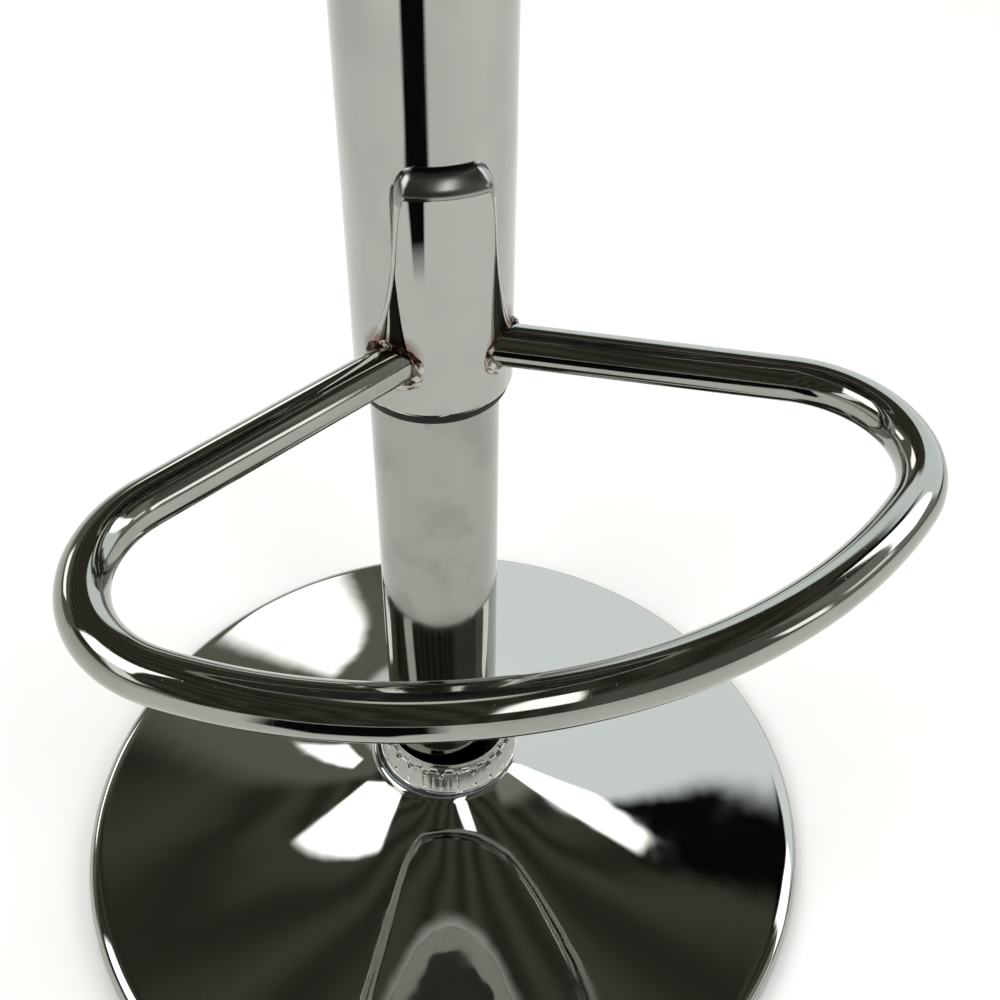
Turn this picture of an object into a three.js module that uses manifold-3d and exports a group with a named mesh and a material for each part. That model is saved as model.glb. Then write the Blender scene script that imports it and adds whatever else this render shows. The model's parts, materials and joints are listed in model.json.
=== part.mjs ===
// A height-adjusting counter stool: a trumpet base, a gas-spring column that swivels and lifts,
// a chrome sleeve that carries a welded foot ring, and a round padded seat with a ribbed band.
// Millimetres, +Z up. The origin is on the floor, on the axis of the column, and the foot
// ring's front points along -Y. The stool stands at its full height.
import * as THREE from "three";
import { mergeVertices } from "three/addons/utils/BufferGeometryUtils.js";
import Module from "manifold-3d";

const wasm = await Module();
wasm.setup();

// Driving dimensions
const GAP = 0.3; // between pieces that touch
const ROUND_SIDES = 40; // sides of the large round pieces
const SHEET = 1.5; // base shell and sleeve wall
const BASE_RADIUS = 180;
const RIM_HEIGHT = 5; // where the base is widest
const BRIM_WIDTH = 9; // the rounded edge outside the flare
const BRIM_HEIGHT = 11;
const FLARE_NEAR = [51, 44]; // handles of the flare's curve, radius and height
const FLARE_FAR = [90, 25.4];
const NECK_RADIUS = 35.2;
const NECK_TOP = 58.7;
const TUBE_RADIUS = 25;
const TUBE_WALL = 2.1;
const TUBE_FOOT = 30;
const TUBE_TOP = 400;
const SLEEVE_RADIUS = 30;
const SLEEVE_BOTTOM = 287;
const SLEEVE_LENGTH = 400;
const CYLINDER_RADIUS = 14;
const CYLINDER_WALL = 1.5;
const CYLINDER_BOTTOM = 255;
const CYLINDER_TOP = 704.5;
const TAPER_START = 640; // the cylinder's top end narrows from here
const TAPER_DROP = 1.1;
const ROD_RADIUS = 5;
const ROD_BOTTOM = 22;
const ROD_TOP = 277;

// Foot of the column, heights above the floor
const BALLAST_RADIUS = 130;
const BALLAST_BOTTOM = 4;
const BALLAST_TOP = 10;
const HUB_RADIUS = 31;
const HUB_FLANGE = 62;
const HUB_TOP = NECK_TOP - SHEET - 0.7;
const CLIP_GROOVE = 28.2;
const CLIP_GROOVE_WIDTH = 1.8;
const CLIP_THICKNESS = 1.2;
const WASHER_BOTTOM = 30;
const END_DISC_BOTTOM = 31;
const END_DISC_TOP = 37;
const RACE_RADIUS = 14;
const RACE_THICKNESS = 2;
const BALL_RADIUS = 1.55;
const BALL_CIRCLE = 9.8;
const BALL_MIDDLE = 41.2;
const BUMP_STOP_TOP = 58;

// Trim rings round the foot of the column: both are loose on it and have slipped to the right
const GASKET_RADIUS = 34.2;
const GASKET_BORE = 26.8;
const GASKET_THICKNESS = 1.7;
const GASKET_SLIP = 1.2;
const COLLAR_RADIUS = 31.3;
const COLLAR_BORE = 27.8;
const COLLAR_SLIP = 2.4;
const SLIP_TURN = -18; // degrees from the X axis
const BAND_TOP = 12.4; // of the collar's fluted band, above its foot
const LIP_TOP = 16.2;
const FLUTES = 24;
const FLUTE_TOP = 1.65; // radii of the tapered cutter
const FLUTE_FOOT = 1.1;
const FLUTE_LENGTH = 6.8;
const FLUTE_LEAN = 18; // degrees
const FLUTE_CIRCLE = 31.3;
const FLUTE_MIDDLE = 9.5; // above the collar's foot

// Foot ring: two arms, two bends and a front arc about a point near the column
const RING_TUBE_RADIUS = 8;
const RING_WALL = 1.5;
const RING_HEIGHT = 310;
const RING_ARM_ANGLE = 28.3; // between an arm and the X axis, in degrees
const RING_ARM_OFFSET = 10.5; // how far in front of the axis an arm's line passes
const RING_BEND_RADIUS = 42.3;
const RING_FRONT_RADIUS = 190.3;
const RING_REACH = 180.7; // from the axis to the middle of the tube in front

// Pressed panel on the sleeve's front, heights above the sleeve's lower edge
const PANEL_TOP = 106;
const PANEL_SHOULDER = 11;
const PANEL_RISE = 5;
const PANEL_TURN = -6; // degrees that the panel sits to the left of the ring's front
const PANEL_HALF_WIDTH = 28; // degrees, at the top
const PANEL_FLARE = 24; // degrees more at the welds
const PANEL_FLARE_FROM = 30;
const PANEL_FLARE_FADE = 22;

// Seat
const PLATE_BOTTOM = 690.3;
const PLATE_TOP = 717;
const PLATE_SHEET = 2.5;
const TRAY_HALF = 55;
const TRAY_CORNER = 14;
const FLANGE_HALF = 85;
const FLANGE_CORNER = 22;
const SOCKET_RADIUS = 19;
const LEVER_SLOT_HALF = 6.5;
const LEVER_SLOT_BOTTOM = 695.5;
const LEVER_SLOT_TOP = 712.5;
const EAR_PLACE = 8.5; // ears at plus and minus this in Y
const EAR_HALF = 1.25;
const SCREW_PLACE = 72; // screws sit at plus and minus this in X and Y
const SCREW_RADIUS = 3;
const SCREW_HOLE = 3.6;
const SCREW_HEAD = 6.4;
const TEE_NUT_BARREL = 4.9;
const TEE_NUT_FLANGE = 9.5;
const TEE_NUT_HOLE = 5.6;
const PAN_BOTTOM = 717.3;
const PAN_THICKNESS = 12;
const PAN_RADIUS = 186;
const BAND_RADIUS = 192;
const BAND_BOTTOM = 713.5;
const BAND_HEIGHT = 47;
const BAND_RIB = 1.8; // depth of a rib
const BAND_WALL = 1.2;
const BAND_LIP = 14; // how far the band turns in under the pan
const PIPING_RADIUS = 3;
const PIPING_CIRCLE = 188.2;
const PIPING_HEIGHT = BAND_BOTTOM + BAND_HEIGHT + PIPING_RADIUS + 0.6;
const CUSHION_SIDE = 184.4; // where the cushion is drawn in behind the piping
const SEAT_TOP = 806;

// Lever
const PIVOT_X = 30;
const PIVOT_Z = 708;
const PIVOT_RADIUS = 3;
const PIVOT_BORE = 3.3;
const PIVOT_LENGTH = 23;
const LEVER_RADIUS = 4;
const LEVER_EYE = 6.2;
const LEVER_EYE_LENGTH = 12;
const LEVER_END_X = 184;
const LEVER_END_Z = 680;
const LEVER_RUN = 70; // length in X of the straight end
const LEVER_FALL = 6;
const TONGUE_END_X = -6;
const TONGUE_HALF = 4.5;
const TONGUE_BOTTOM = CYLINDER_TOP + 7.4;
const TONGUE_THICKNESS = 3;
const GRIP_LENGTH = 58;
const GRIP_START = 0.17; // as a share of the straight end

const rad = THREE.MathUtils.degToRad;

// A closed outline of [radius, height] points, turned about the Z axis.
function revolve(outline, segments) {
  const points = outline.map(([r, z]) => new THREE.Vector2(r, z));
  const onAxis = points[0].x === 0 && points.at(-1).x === 0;
  if (THREE.ShapeUtils.area(points) < 0) points.reverse();
  if (!onAxis) points.push(points[0].clone());
  return new THREE.LatheGeometry(points, segments).rotateX(Math.PI / 2);
}

// A plain ring or washer.
function ring(outer, inner, bottom, top, segments) {
  return revolve(
    [
      [inner, bottom],
      [outer, bottom],
      [outer, top],
      [inner, top],
    ],
    segments,
  );
}

function toSolid(geometry) {
  const bare = geometry.clone();
  bare.deleteAttribute("normal");
  bare.deleteAttribute("uv");
  const merged = mergeVertices(bare, 1e-3);
  return new wasm.Manifold(
    new wasm.Mesh({
      numProp: 3,
      vertProperties: merged.attributes.position.array,
      triVerts: new Uint32Array(merged.index.array),
    }),
  );
}

function toGeometry(solid) {
  const { vertProperties, triVerts } = solid.getMesh();
  const geometry = new THREE.BufferGeometry();
  geometry.setAttribute("position", new THREE.BufferAttribute(vertProperties, 3));
  geometry.setIndex(new THREE.BufferAttribute(triVerts, 1));
  geometry.computeVertexNormals();
  return geometry;
}

function join(first, ...others) {
  return toGeometry(others.reduce((sum, g) => sum.add(toSolid(g)), toSolid(first)));
}

function cut(body, ...tools) {
  return toGeometry(tools.reduce((rest, g) => rest.subtract(toSolid(g)), toSolid(body)));
}

function box(x0, x1, y0, y1, z0, z1) {
  const geometry = new THREE.BoxGeometry(x1 - x0, y1 - y0, z1 - z0);
  return geometry.translate((x0 + x1) / 2, (y0 + y1) / 2, (z0 + z1) / 2);
}

// A rod along Y, or along Z when standing is true.
function rod(radius, length, x, y, z, sides, standing = false) {
  const geometry = new THREE.CylinderGeometry(radius, radius, length, sides);
  if (standing) geometry.rotateX(Math.PI / 2);
  return geometry.translate(x, y, z);
}

function circlePoints(radius, sides) {
  const points = [];
  for (let i = 0; i < sides; i++) {
    const angle = ((i + 0.5) * 2 * Math.PI) / sides;
    points.push(new THREE.Vector2(radius * Math.cos(angle), radius * Math.sin(angle)));
  }
  return points;
}

// A closed surface over a grid of points: rows of equal length that run round the piece, with the
// last row joined to the first, as on a wall that has an outside and an inside.
function wrapGrid(rows) {
  const columns = rows[0].length;
  const positions = rows.flat(2);
  const index = [];
  rows.forEach((_, i) => {
    const next = (i + 1) % rows.length;
    for (let j = 0; j < columns; j++) {
      const k = (j + 1) % columns;
      const [a, b, c, d] = [
        i * columns + j,
        i * columns + k,
        next * columns + k,
        next * columns + j,
      ];
      index.push(a, b, c, a, c, d);
    }
  });
  const geometry = new THREE.BufferGeometry();
  geometry.setAttribute("position", new THREE.Float32BufferAttribute(positions, 3));
  geometry.setIndex(index);
  geometry.computeVertexNormals();
  return geometry;
}

// Base

// The outside of the base from its neck to its rim, as [radius, height].
function trumpetLine() {
  const brim = new THREE.Vector2(BASE_RADIUS - BRIM_WIDTH, BRIM_HEIGHT);
  const flare = new THREE.CubicBezierCurve(
    new THREE.Vector2(NECK_RADIUS, NECK_TOP - 1.9),
    new THREE.Vector2(...FLARE_NEAR),
    new THREE.Vector2(...FLARE_FAR),
    brim,
  );
  const rim = new THREE.CubicBezierCurve(
    brim,
    new THREE.Vector2(BASE_RADIUS - BRIM_WIDTH / 2, BRIM_HEIGHT - 0.8),
    new THREE.Vector2(BASE_RADIUS, BRIM_HEIGHT - 1.6),
    new THREE.Vector2(BASE_RADIUS, RIM_HEIGHT - 1),
  );
  return [
    new THREE.Vector2(NECK_RADIUS - 9.2, NECK_TOP),
    new THREE.Vector2(NECK_RADIUS - 2.5, NECK_TOP),
    new THREE.Vector2(NECK_RADIUS - 0.8, NECK_TOP - 0.7),
    ...flare.getPoints(8),
    ...rim.getPoints(3).slice(1),
    new THREE.Vector2(BASE_RADIUS, 1.2),
  ];
}

// The same line moved inwards by the sheet's thickness.
function offsetLine(points, distance) {
  return points.map((p, i) => {
    const before = points[Math.max(i - 1, 0)];
    const after = points[Math.min(i + 1, points.length - 1)];
    const along = after.clone().sub(before).normalize();
    return new THREE.Vector2(p.x + along.y * distance, p.y - along.x * distance);
  });
}

function baseShell() {
  const outside = trumpetLine();
  const inside = offsetLine(outside, SHEET).reverse();
  const outline = [...outside, ...inside].map((p) => [p.x, p.y]);
  return revolve(outline, ROUND_SIDES);
}

function floorRing() {
  return ring(BASE_RADIUS - 2.2, BASE_RADIUS - 8.5, 0, 5.5, ROUND_SIDES);
}

function ballastPlate() {
  const hole = HUB_RADIUS + 3;
  return revolve(
    [
      [hole, BALLAST_BOTTOM],
      [BALLAST_RADIUS - 2, BALLAST_BOTTOM],
      [BALLAST_RADIUS, BALLAST_BOTTOM + 1.5],
      [BALLAST_RADIUS, BALLAST_TOP],
      [hole, BALLAST_TOP],
    ],
    32,
  );
}

// A welded socket: a flange on the ballast plate and a tapered bore that grips the tube's foot.
function baseHub() {
  const bottom = BALLAST_TOP + GAP;
  const flangeTop = bottom + 3;
  const lip = TUBE_RADIUS - 5;
  return revolve(
    [
      [lip, bottom],
      [HUB_FLANGE, bottom],
      [HUB_FLANGE, flangeTop],
      [HUB_RADIUS + 3, flangeTop],
      [HUB_RADIUS, flangeTop + 3],
      [HUB_RADIUS, HUB_TOP],
      [TUBE_RADIUS + 0.5, HUB_TOP],
      [TUBE_RADIUS - 0.6, TUBE_FOOT - 1],
      [lip, TUBE_FOOT - 1],
    ],
    20,
  );
}

// The plate that closes the tube's foot and carries the thrust bearing.
function tubeEndDisc() {
  return ring(TUBE_RADIUS - TUBE_WALL - 0.5, ROD_RADIUS + 0.6, END_DISC_BOTTOM, END_DISC_TOP, 20);
}

function race(bottom, bore) {
  return ring(RACE_RADIUS, bore, bottom, bottom + RACE_THICKNESS, 16);
}

// Moves a loose ring sideways on the column.
function slip(geometry, distance) {
  const turn = rad(SLIP_TURN);
  return geometry.translate(distance * Math.cos(turn), distance * Math.sin(turn), 0);
}

function collarGasket() {
  const bottom = NECK_TOP + GAP;
  const gasket = ring(GASKET_RADIUS, GASKET_BORE, bottom, bottom + GASKET_THICKNESS, 32);
  return slip(gasket, GASKET_SLIP);
}

// The trim collar: a slightly tapered band, notched all round its upper edge by flutes that lean
// inwards and fade out halfway down, with a rounded lip behind the notches.
function columnCollar() {
  const foot = NECK_TOP + 2 * GAP + GASKET_THICKNESS;
  const band = revolve(
    [
      [COLLAR_BORE, foot],
      [COLLAR_RADIUS, foot],
      [COLLAR_RADIUS, foot + 1.5],
      [COLLAR_RADIUS - 0.9, foot + BAND_TOP - 0.6],
      [COLLAR_RADIUS - 1.6, foot + BAND_TOP],
      [COLLAR_BORE + 0.9, foot + BAND_TOP + 0.2],
      [COLLAR_BORE + 1, foot + LIP_TOP - 1.6],
      [COLLAR_BORE + 0.5, foot + LIP_TOP],
      [COLLAR_BORE, foot + LIP_TOP - 0.8],
    ],
    48,
  );
  const grooves = [];
  for (let i = 0; i < FLUTES; i++) {
    const groove = new THREE.CylinderGeometry(FLUTE_TOP, FLUTE_FOOT, FLUTE_LENGTH, 5);
    groove.rotateX(Math.PI / 2).rotateY(-rad(FLUTE_LEAN));
    groove.translate(FLUTE_CIRCLE, 0, foot + FLUTE_MIDDLE);
    groove.rotateZ(((i + 0.5) * 2 * Math.PI) / FLUTES);
    grooves.push(groove);
  }
  return slip(cut(band, ...grooves), COLLAR_SLIP);
}

// Column

function columnTube() {
  const inner = TUBE_RADIUS - TUBE_WALL;
  return revolve(
    [
      [inner, TUBE_FOOT],
      [TUBE_RADIUS - 1, TUBE_FOOT],
      [TUBE_RADIUS, 60],
      [TUBE_RADIUS, TUBE_TOP - 1],
      [TUBE_RADIUS - 0.8, TUBE_TOP],
      [inner, TUBE_TOP],
    ],
    32,
  );
}

function guideBush() {
  const bore = CYLINDER_RADIUS + GAP;
  const body = TUBE_RADIUS - TUBE_WALL - GAP;
  return revolve(
    [
      [bore, TUBE_TOP - 80],
      [body, TUBE_TOP - 80],
      [body, TUBE_TOP + GAP],
      [TUBE_RADIUS - 0.4, TUBE_TOP + GAP],
      [TUBE_RADIUS - 0.4, TUBE_TOP + 2.6],
      [bore + 1.2, TUBE_TOP + 3.2],
      [bore, TUBE_TOP + 2],
    ],
    24,
  );
}

// The cylinder's outer radius at a height, along its taper.
function taperRadius(height) {
  const share = (height - TAPER_START) / (CYLINDER_TOP - TAPER_START);
  return CYLINDER_RADIUS - TAPER_DROP * Math.max(share, 0);
}

function pressureCylinder() {
  const inner = CYLINDER_RADIUS - CYLINDER_WALL;
  return revolve(
    [
      [inner, CYLINDER_BOTTOM],
      [CYLINDER_RADIUS - 0.5, CYLINDER_BOTTOM],
      [CYLINDER_RADIUS, CYLINDER_BOTTOM + 1],
      [CYLINDER_RADIUS, TAPER_START],
      [taperRadius(CYLINDER_TOP - 1), CYLINDER_TOP - 1],
      [taperRadius(CYLINDER_TOP) - 0.8, CYLINDER_TOP],
      [2.9, CYLINDER_TOP],
      [2.9, CYLINDER_TOP - 18],
      [taperRadius(CYLINDER_TOP - 22) - 2, CYLINDER_TOP - 22],
      [inner, TAPER_START],
    ],
    20,
  );
}

function rodGland() {
  const outer = CYLINDER_RADIUS - CYLINDER_WALL - GAP;
  return ring(outer, ROD_RADIUS + GAP, CYLINDER_BOTTOM + 1.5, CYLINDER_BOTTOM + 9.5, 16);
}

function valvePin() {
  return revolve(
    [
      [0, CYLINDER_TOP - 28],
      [2.5, CYLINDER_TOP - 28],
      [2.5, CYLINDER_TOP + 6],
      [1.5, CYLINDER_TOP + 7],
      [0, CYLINDER_TOP + 7],
    ],
    12,
  );
}

function pistonRod() {
  const grooveTop = CLIP_GROOVE + CLIP_GROOVE_WIDTH;
  return revolve(
    [
      [0, ROD_BOTTOM],
      [ROD_RADIUS - 0.8, ROD_BOTTOM],
      [ROD_RADIUS, ROD_BOTTOM + 0.8],
      [ROD_RADIUS, CLIP_GROOVE],
      [ROD_RADIUS - 1, CLIP_GROOVE],
      [ROD_RADIUS - 1, grooveTop],
      [ROD_RADIUS, grooveTop],
      [ROD_RADIUS, ROD_TOP],
      [0, ROD_TOP],
    ],
    12,
  );
}

function piston() {
  const outer = CYLINDER_RADIUS - CYLINDER_WALL - GAP;
  return revolve(
    [
      [ROD_RADIUS + GAP, ROD_TOP - 11],
      [outer, ROD_TOP - 11],
      [outer, ROD_TOP - 7],
      [outer - 1, ROD_TOP - 6.5],
      [outer - 1, ROD_TOP - 4.5],
      [outer, ROD_TOP - 4],
      [outer, ROD_TOP - 0.5],
      [ROD_RADIUS + GAP, ROD_TOP - 0.5],
    ],
    16,
  );
}

// The spring clip in the rod's groove: a ring with a mouth and three inner lugs.
function rodClip() {
  const bottom = CLIP_GROOVE + GAP;
  const top = bottom + CLIP_THICKNESS;
  const body = toSolid(ring(8, ROD_RADIUS + 0.6, bottom, top, 24));
  const lug = box(ROD_RADIUS - 0.7, ROD_RADIUS + 1, -1.2, 1.2, bottom, top);
  const lugs = [90, 180, 270].map((turn) => toSolid(lug.clone().rotateZ(rad(turn))));
  const mouth = toSolid(box(3, 9, -2.6, 2.6, bottom - 1, top + 1));
  return toGeometry(lugs.reduce((sum, next) => sum.add(next), body).subtract(mouth));
}

function ballCage() {
  const count = 8;
  const balls = [];
  for (let i = 0; i < count; i++) {
    const ball = new THREE.SphereGeometry(BALL_RADIUS, 6, 4).translate(BALL_CIRCLE, 0, BALL_MIDDLE);
    balls.push(ball.rotateZ((i * 2 * Math.PI) / count));
  }
  const cage = ring(BALL_CIRCLE + 2.8, BALL_CIRCLE - 2.8, BALL_MIDDLE - 0.6, BALL_MIDDLE + 0.6, 16);
  return join(cage, ...balls);
}

function bumpStop() {
  const bottom = BALL_MIDDLE + BALL_RADIUS + RACE_THICKNESS + 0.65;
  const bore = ROD_RADIUS + 0.5;
  return revolve(
    [
      [bore, bottom],
      [15, bottom],
      [15, BUMP_STOP_TOP - 7],
      [12.5, BUMP_STOP_TOP],
      [bore, BUMP_STOP_TOP],
    ],
    16,
  );
}

// Sleeve and foot ring

// How far the panel stands out of the sleeve, at a height and at a place across it that is 0 in
// its middle and 1 at its edge.
function panelRise(height, across) {
  const below = PANEL_TOP - height;
  if (below <= 0 || height <= 0) return 0;
  const shoulder = Math.min(below / PANEL_SHOULDER, 1);
  const crown = Math.sqrt(1 - (1 - shoulder) ** 2);
  const lean = Math.min(height / (PANEL_TOP - PANEL_SHOULDER), 1);
  const edge = THREE.MathUtils.smoothstep(1.1 - Math.abs(across), 0, 0.2);
  return PANEL_RISE * lean * crown * edge;
}

function panelHalfWidth(height) {
  const over = Math.max(height - PANEL_FLARE_FROM, 0);
  return PANEL_HALF_WIDTH + PANEL_FLARE * Math.exp(-over / PANEL_FLARE_FADE);
}

// The places of the sleeve's columns: close together at the panel's edges, even at the back.
function sleeveColumns() {
  const front = [0, 0.25, 0.5, 0.75, 0.9, 0.97, 1.03, 1.1];
  const backCount = 12;
  const half = front.map((across) => ({ across, back: 0 }));
  for (let i = 1; i <= backCount; i++) half.push({ across: 1.1, back: i / backCount });
  const mirrored = half.slice(1, -1).reverse();
  return [
    ...half.map((c) => ({ ...c, side: 1 })),
    ...mirrored.map((c) => ({ ...c, side: -1 })),
  ];
}

// One row of points round the sleeve, at a height above its lower edge.
function sleeveRow(height, radius, withPanel) {
  return sleeveColumns().map(({ across, back, side }) => {
    const edge = panelHalfWidth(height) * across;
    const turn = PANEL_TURN + side * (edge + (180 - edge) * back);
    const rise = withPanel && back === 0 ? panelRise(height, across) : 0;
    const angle = rad(turn);
    const r = radius + rise;
    return [r * Math.sin(angle), -r * Math.cos(angle), SLEEVE_BOTTOM + height];
  });
}

// Heights of the rows of points on the sleeve, close together at the panel's shoulder.
const SLEEVE_HEIGHTS = [1, 12, 24, 34, 44, 56, 72, 95, 99, 102, 104.4, 105.6, 106];

function columnSleeve() {
  const inside = SLEEVE_RADIUS - SHEET;
  const outer = SLEEVE_HEIGHTS.map((h) => sleeveRow(h, SLEEVE_RADIUS, true));
  const inner = [95, 56, 34, 16].map((h) => sleeveRow(h, inside, true));
  return wrapGrid([
    sleeveRow(0, inside, false),
    sleeveRow(0, SLEEVE_RADIUS - 0.7, false),
    ...outer,
    sleeveRow(SLEEVE_LENGTH, SLEEVE_RADIUS, false),
    sleeveRow(SLEEVE_LENGTH, inside, false),
    sleeveRow(107, inside, false),
    ...inner,
  ]);
}

// The sleeve's outside as a plug, grown by a clearance: it cuts what is welded to the sleeve.
function sleevePlug(clearance) {
  const rows = [0, ...SLEEVE_HEIGHTS, 130].map((h) => sleeveRow(h, SLEEVE_RADIUS + clearance, true));
  const bore = [130, 0].map((h) => sleeveRow(h, 5, false));
  return wrapGrid([...rows, ...bore]);
}

function sleeveBush() {
  const bore = TUBE_RADIUS + 0.45;
  const body = SLEEVE_RADIUS - SHEET - GAP;
  return revolve(
    [
      [bore, SLEEVE_BOTTOM - 4.6],
      [27.9, SLEEVE_BOTTOM - 4.6],
      [28.5, SLEEVE_BOTTOM - 4],
      [28.5, SLEEVE_BOTTOM - GAP],
      [body, SLEEVE_BOTTOM - GAP],
      [body, SLEEVE_BOTTOM + 26],
      [bore, SLEEVE_BOTTOM + 26],
    ],
    24,
  );
}

function sleeveHub() {
  const low = 650;
  const high = 677;
  const web = SLEEVE_RADIUS - SHEET - GAP;
  return revolve(
    [
      [taperRadius(low) + GAP, low],
      [18.5, low],
      [18.5, low + 11],
      [web, low + 13],
      [web, low + 18],
      [18.5, low + 16],
      [18.5, high],
      [taperRadius(high) + GAP, high],
    ],
    16,
  );
}

function sleeveCap() {
  const top = SLEEVE_BOTTOM + SLEEVE_LENGTH;
  const body = SLEEVE_RADIUS - SHEET - GAP;
  return revolve(
    [
      [20, top - 8],
      [body, top - 8],
      [body, top + GAP],
      [SLEEVE_RADIUS, top + GAP],
      [SLEEVE_RADIUS - 0.8, top + 2.4],
      [20, top + 2.4],
    ],
    24,
  );
}

// The right half of the foot ring's centre line: where the arm, the bend and the arc meet.
function ringPlan() {
  const angle = rad(RING_ARM_ANGLE);
  const along = new THREE.Vector2(Math.cos(angle), Math.sin(angle));
  const across = new THREE.Vector2(-Math.sin(angle), Math.cos(angle));
  const arcCentre = new THREE.Vector2(0, RING_REACH - RING_FRONT_RADIUS);
  const inset = RING_ARM_OFFSET + RING_BEND_RADIUS - arcCentre.dot(across);
  const run = Math.sqrt((RING_FRONT_RADIUS - RING_BEND_RADIUS) ** 2 - inset ** 2);
  const bendCentre = arcCentre.clone().addScaledVector(across, inset).addScaledVector(along, run);
  const armEnd = bendCentre.clone().addScaledVector(across, -RING_BEND_RADIUS);
  const outward = bendCentre.clone().sub(arcCentre).normalize();
  return { angle, along, across, arcCentre, bendCentre, armEnd, outward };
}

// An arc in the ring's plane. Plan coordinates are x to the right and y to the front.
class PlanArc extends THREE.Curve {
  constructor(centre, radius, start, end) {
    super();
    Object.assign(this, { centre, radius, start, end });
  }
  getPoint(t) {
    const angle = this.start + (this.end - this.start) * t;
    const x = this.centre.x + this.radius * Math.cos(angle);
    const y = this.centre.y + this.radius * Math.sin(angle);
    return new THREE.Vector3(x, -y, RING_HEIGHT);
  }
}

// The foot ring's whole centre line, from inside the sleeve on the right to the same on the left.
function ringPath() {
  const { angle, along, across, arcCentre, bendCentre, armEnd, outward } = ringPlan();
  const start = across.clone().multiplyScalar(RING_ARM_OFFSET).addScaledVector(along, 14);
  const toArc = outward.angle();
  const mirror = (p) => new THREE.Vector2(-p.x, p.y);
  const place = (p) => new THREE.Vector3(p.x, -p.y, RING_HEIGHT);
  const path = new THREE.CurvePath();
  path.add(new THREE.LineCurve3(place(start), place(armEnd)));
  path.add(new PlanArc(bendCentre, RING_BEND_RADIUS, angle - Math.PI / 2, toArc));
  path.add(new PlanArc(arcCentre, RING_FRONT_RADIUS, toArc, Math.PI - toArc));
  const leftBend = [Math.PI - toArc, Math.PI - (angle - Math.PI / 2)];
  path.add(new PlanArc(mirror(bendCentre), RING_BEND_RADIUS, ...leftBend));
  path.add(new THREE.LineCurve3(place(mirror(armEnd)), place(mirror(start))));
  return path;
}

function footRing() {
  const section = new THREE.Shape(circlePoints(RING_TUBE_RADIUS, 12));
  section.holes.push(new THREE.Path(circlePoints(RING_TUBE_RADIUS - RING_WALL, 6)));
  const tube = new THREE.ExtrudeGeometry(section, { steps: 48, extrudePath: ringPath() });
  return cut(tube, sleevePlug(GAP));
}

// A weld bead: a lumpy tube that runs round the foot of one arm.
function weldBead(side) {
  const { along, across } = ringPlan();
  const steps = 22;
  const sides = 5;
  const collar = RING_TUBE_RADIUS + 1.2;
  const rows = [];
  for (let i = 0; i < steps; i++) {
    const turn = (i * 2 * Math.PI) / steps;
    const sideways = RING_ARM_OFFSET + collar * Math.cos(turn);
    const reach = Math.sqrt((SLEEVE_RADIUS + 1.6) ** 2 - sideways ** 2);
    const lump = 2.5 + 0.35 * Math.sin(5 * turn + side) + 0.25 * Math.sin(9 * turn);
    const centre = new THREE.Vector3(
      side * (along.x * reach + across.x * sideways),
      -(along.y * reach + across.y * sideways),
      RING_HEIGHT + collar * Math.sin(turn),
    );
    const out = new THREE.Vector3(side * along.x, -along.y, 0);
    const away = new THREE.Vector3(
      side * across.x * Math.cos(turn),
      -across.y * Math.cos(turn),
      Math.sin(turn),
    );
    const row = [];
    for (let j = 0; j < sides; j++) {
      const angle = (-side * j * 2 * Math.PI) / sides;
      const point = centre
        .clone()
        .addScaledVector(out, lump * Math.cos(angle))
        .addScaledVector(away, lump * Math.sin(angle));
      row.push(point.toArray());
    }
    rows.push(row);
  }
  return wrapGrid(rows);
}

// The inner part of an arm as a solid bar, grown by a clearance: it cuts the weld bead.
function armPlug(side, clearance) {
  const { along, across } = ringPlan();
  const place = (reach) =>
    new THREE.Vector3(
      side * (along.x * reach + across.x * RING_ARM_OFFSET),
      -(along.y * reach + across.y * RING_ARM_OFFSET),
      RING_HEIGHT,
    );
  const section = new THREE.Shape(circlePoints(RING_TUBE_RADIUS + clearance, 12));
  const path = new THREE.LineCurve3(place(10), place(60));
  return new THREE.ExtrudeGeometry(section, { steps: 1, extrudePath: path });
}

function weld(side) {
  return cut(weldBead(side), sleevePlug(GAP), armPlug(side, GAP));
}

// Seat

function roundedSquare(half, corner) {
  const shape = new THREE.Shape();
  shape.absarc(half - corner, half - corner, corner, 0, Math.PI / 2);
  shape.absarc(corner - half, half - corner, corner, Math.PI / 2, Math.PI);
  shape.absarc(corner - half, corner - half, corner, Math.PI, 1.5 * Math.PI);
  shape.absarc(half - corner, corner - half, corner, 1.5 * Math.PI, 2 * Math.PI);
  return shape;
}

function squareBlock(half, corner, bottom, top) {
  const options = { depth: top - bottom, bevelEnabled: false, curveSegments: 3 };
  return new THREE.ExtrudeGeometry(roundedSquare(half, corner), options).translate(0, 0, bottom);
}

function screwPlaces() {
  const s = SCREW_PLACE;
  return [
    [s, s],
    [-s, s],
    [-s, -s],
    [s, -s],
  ];
}

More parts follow.
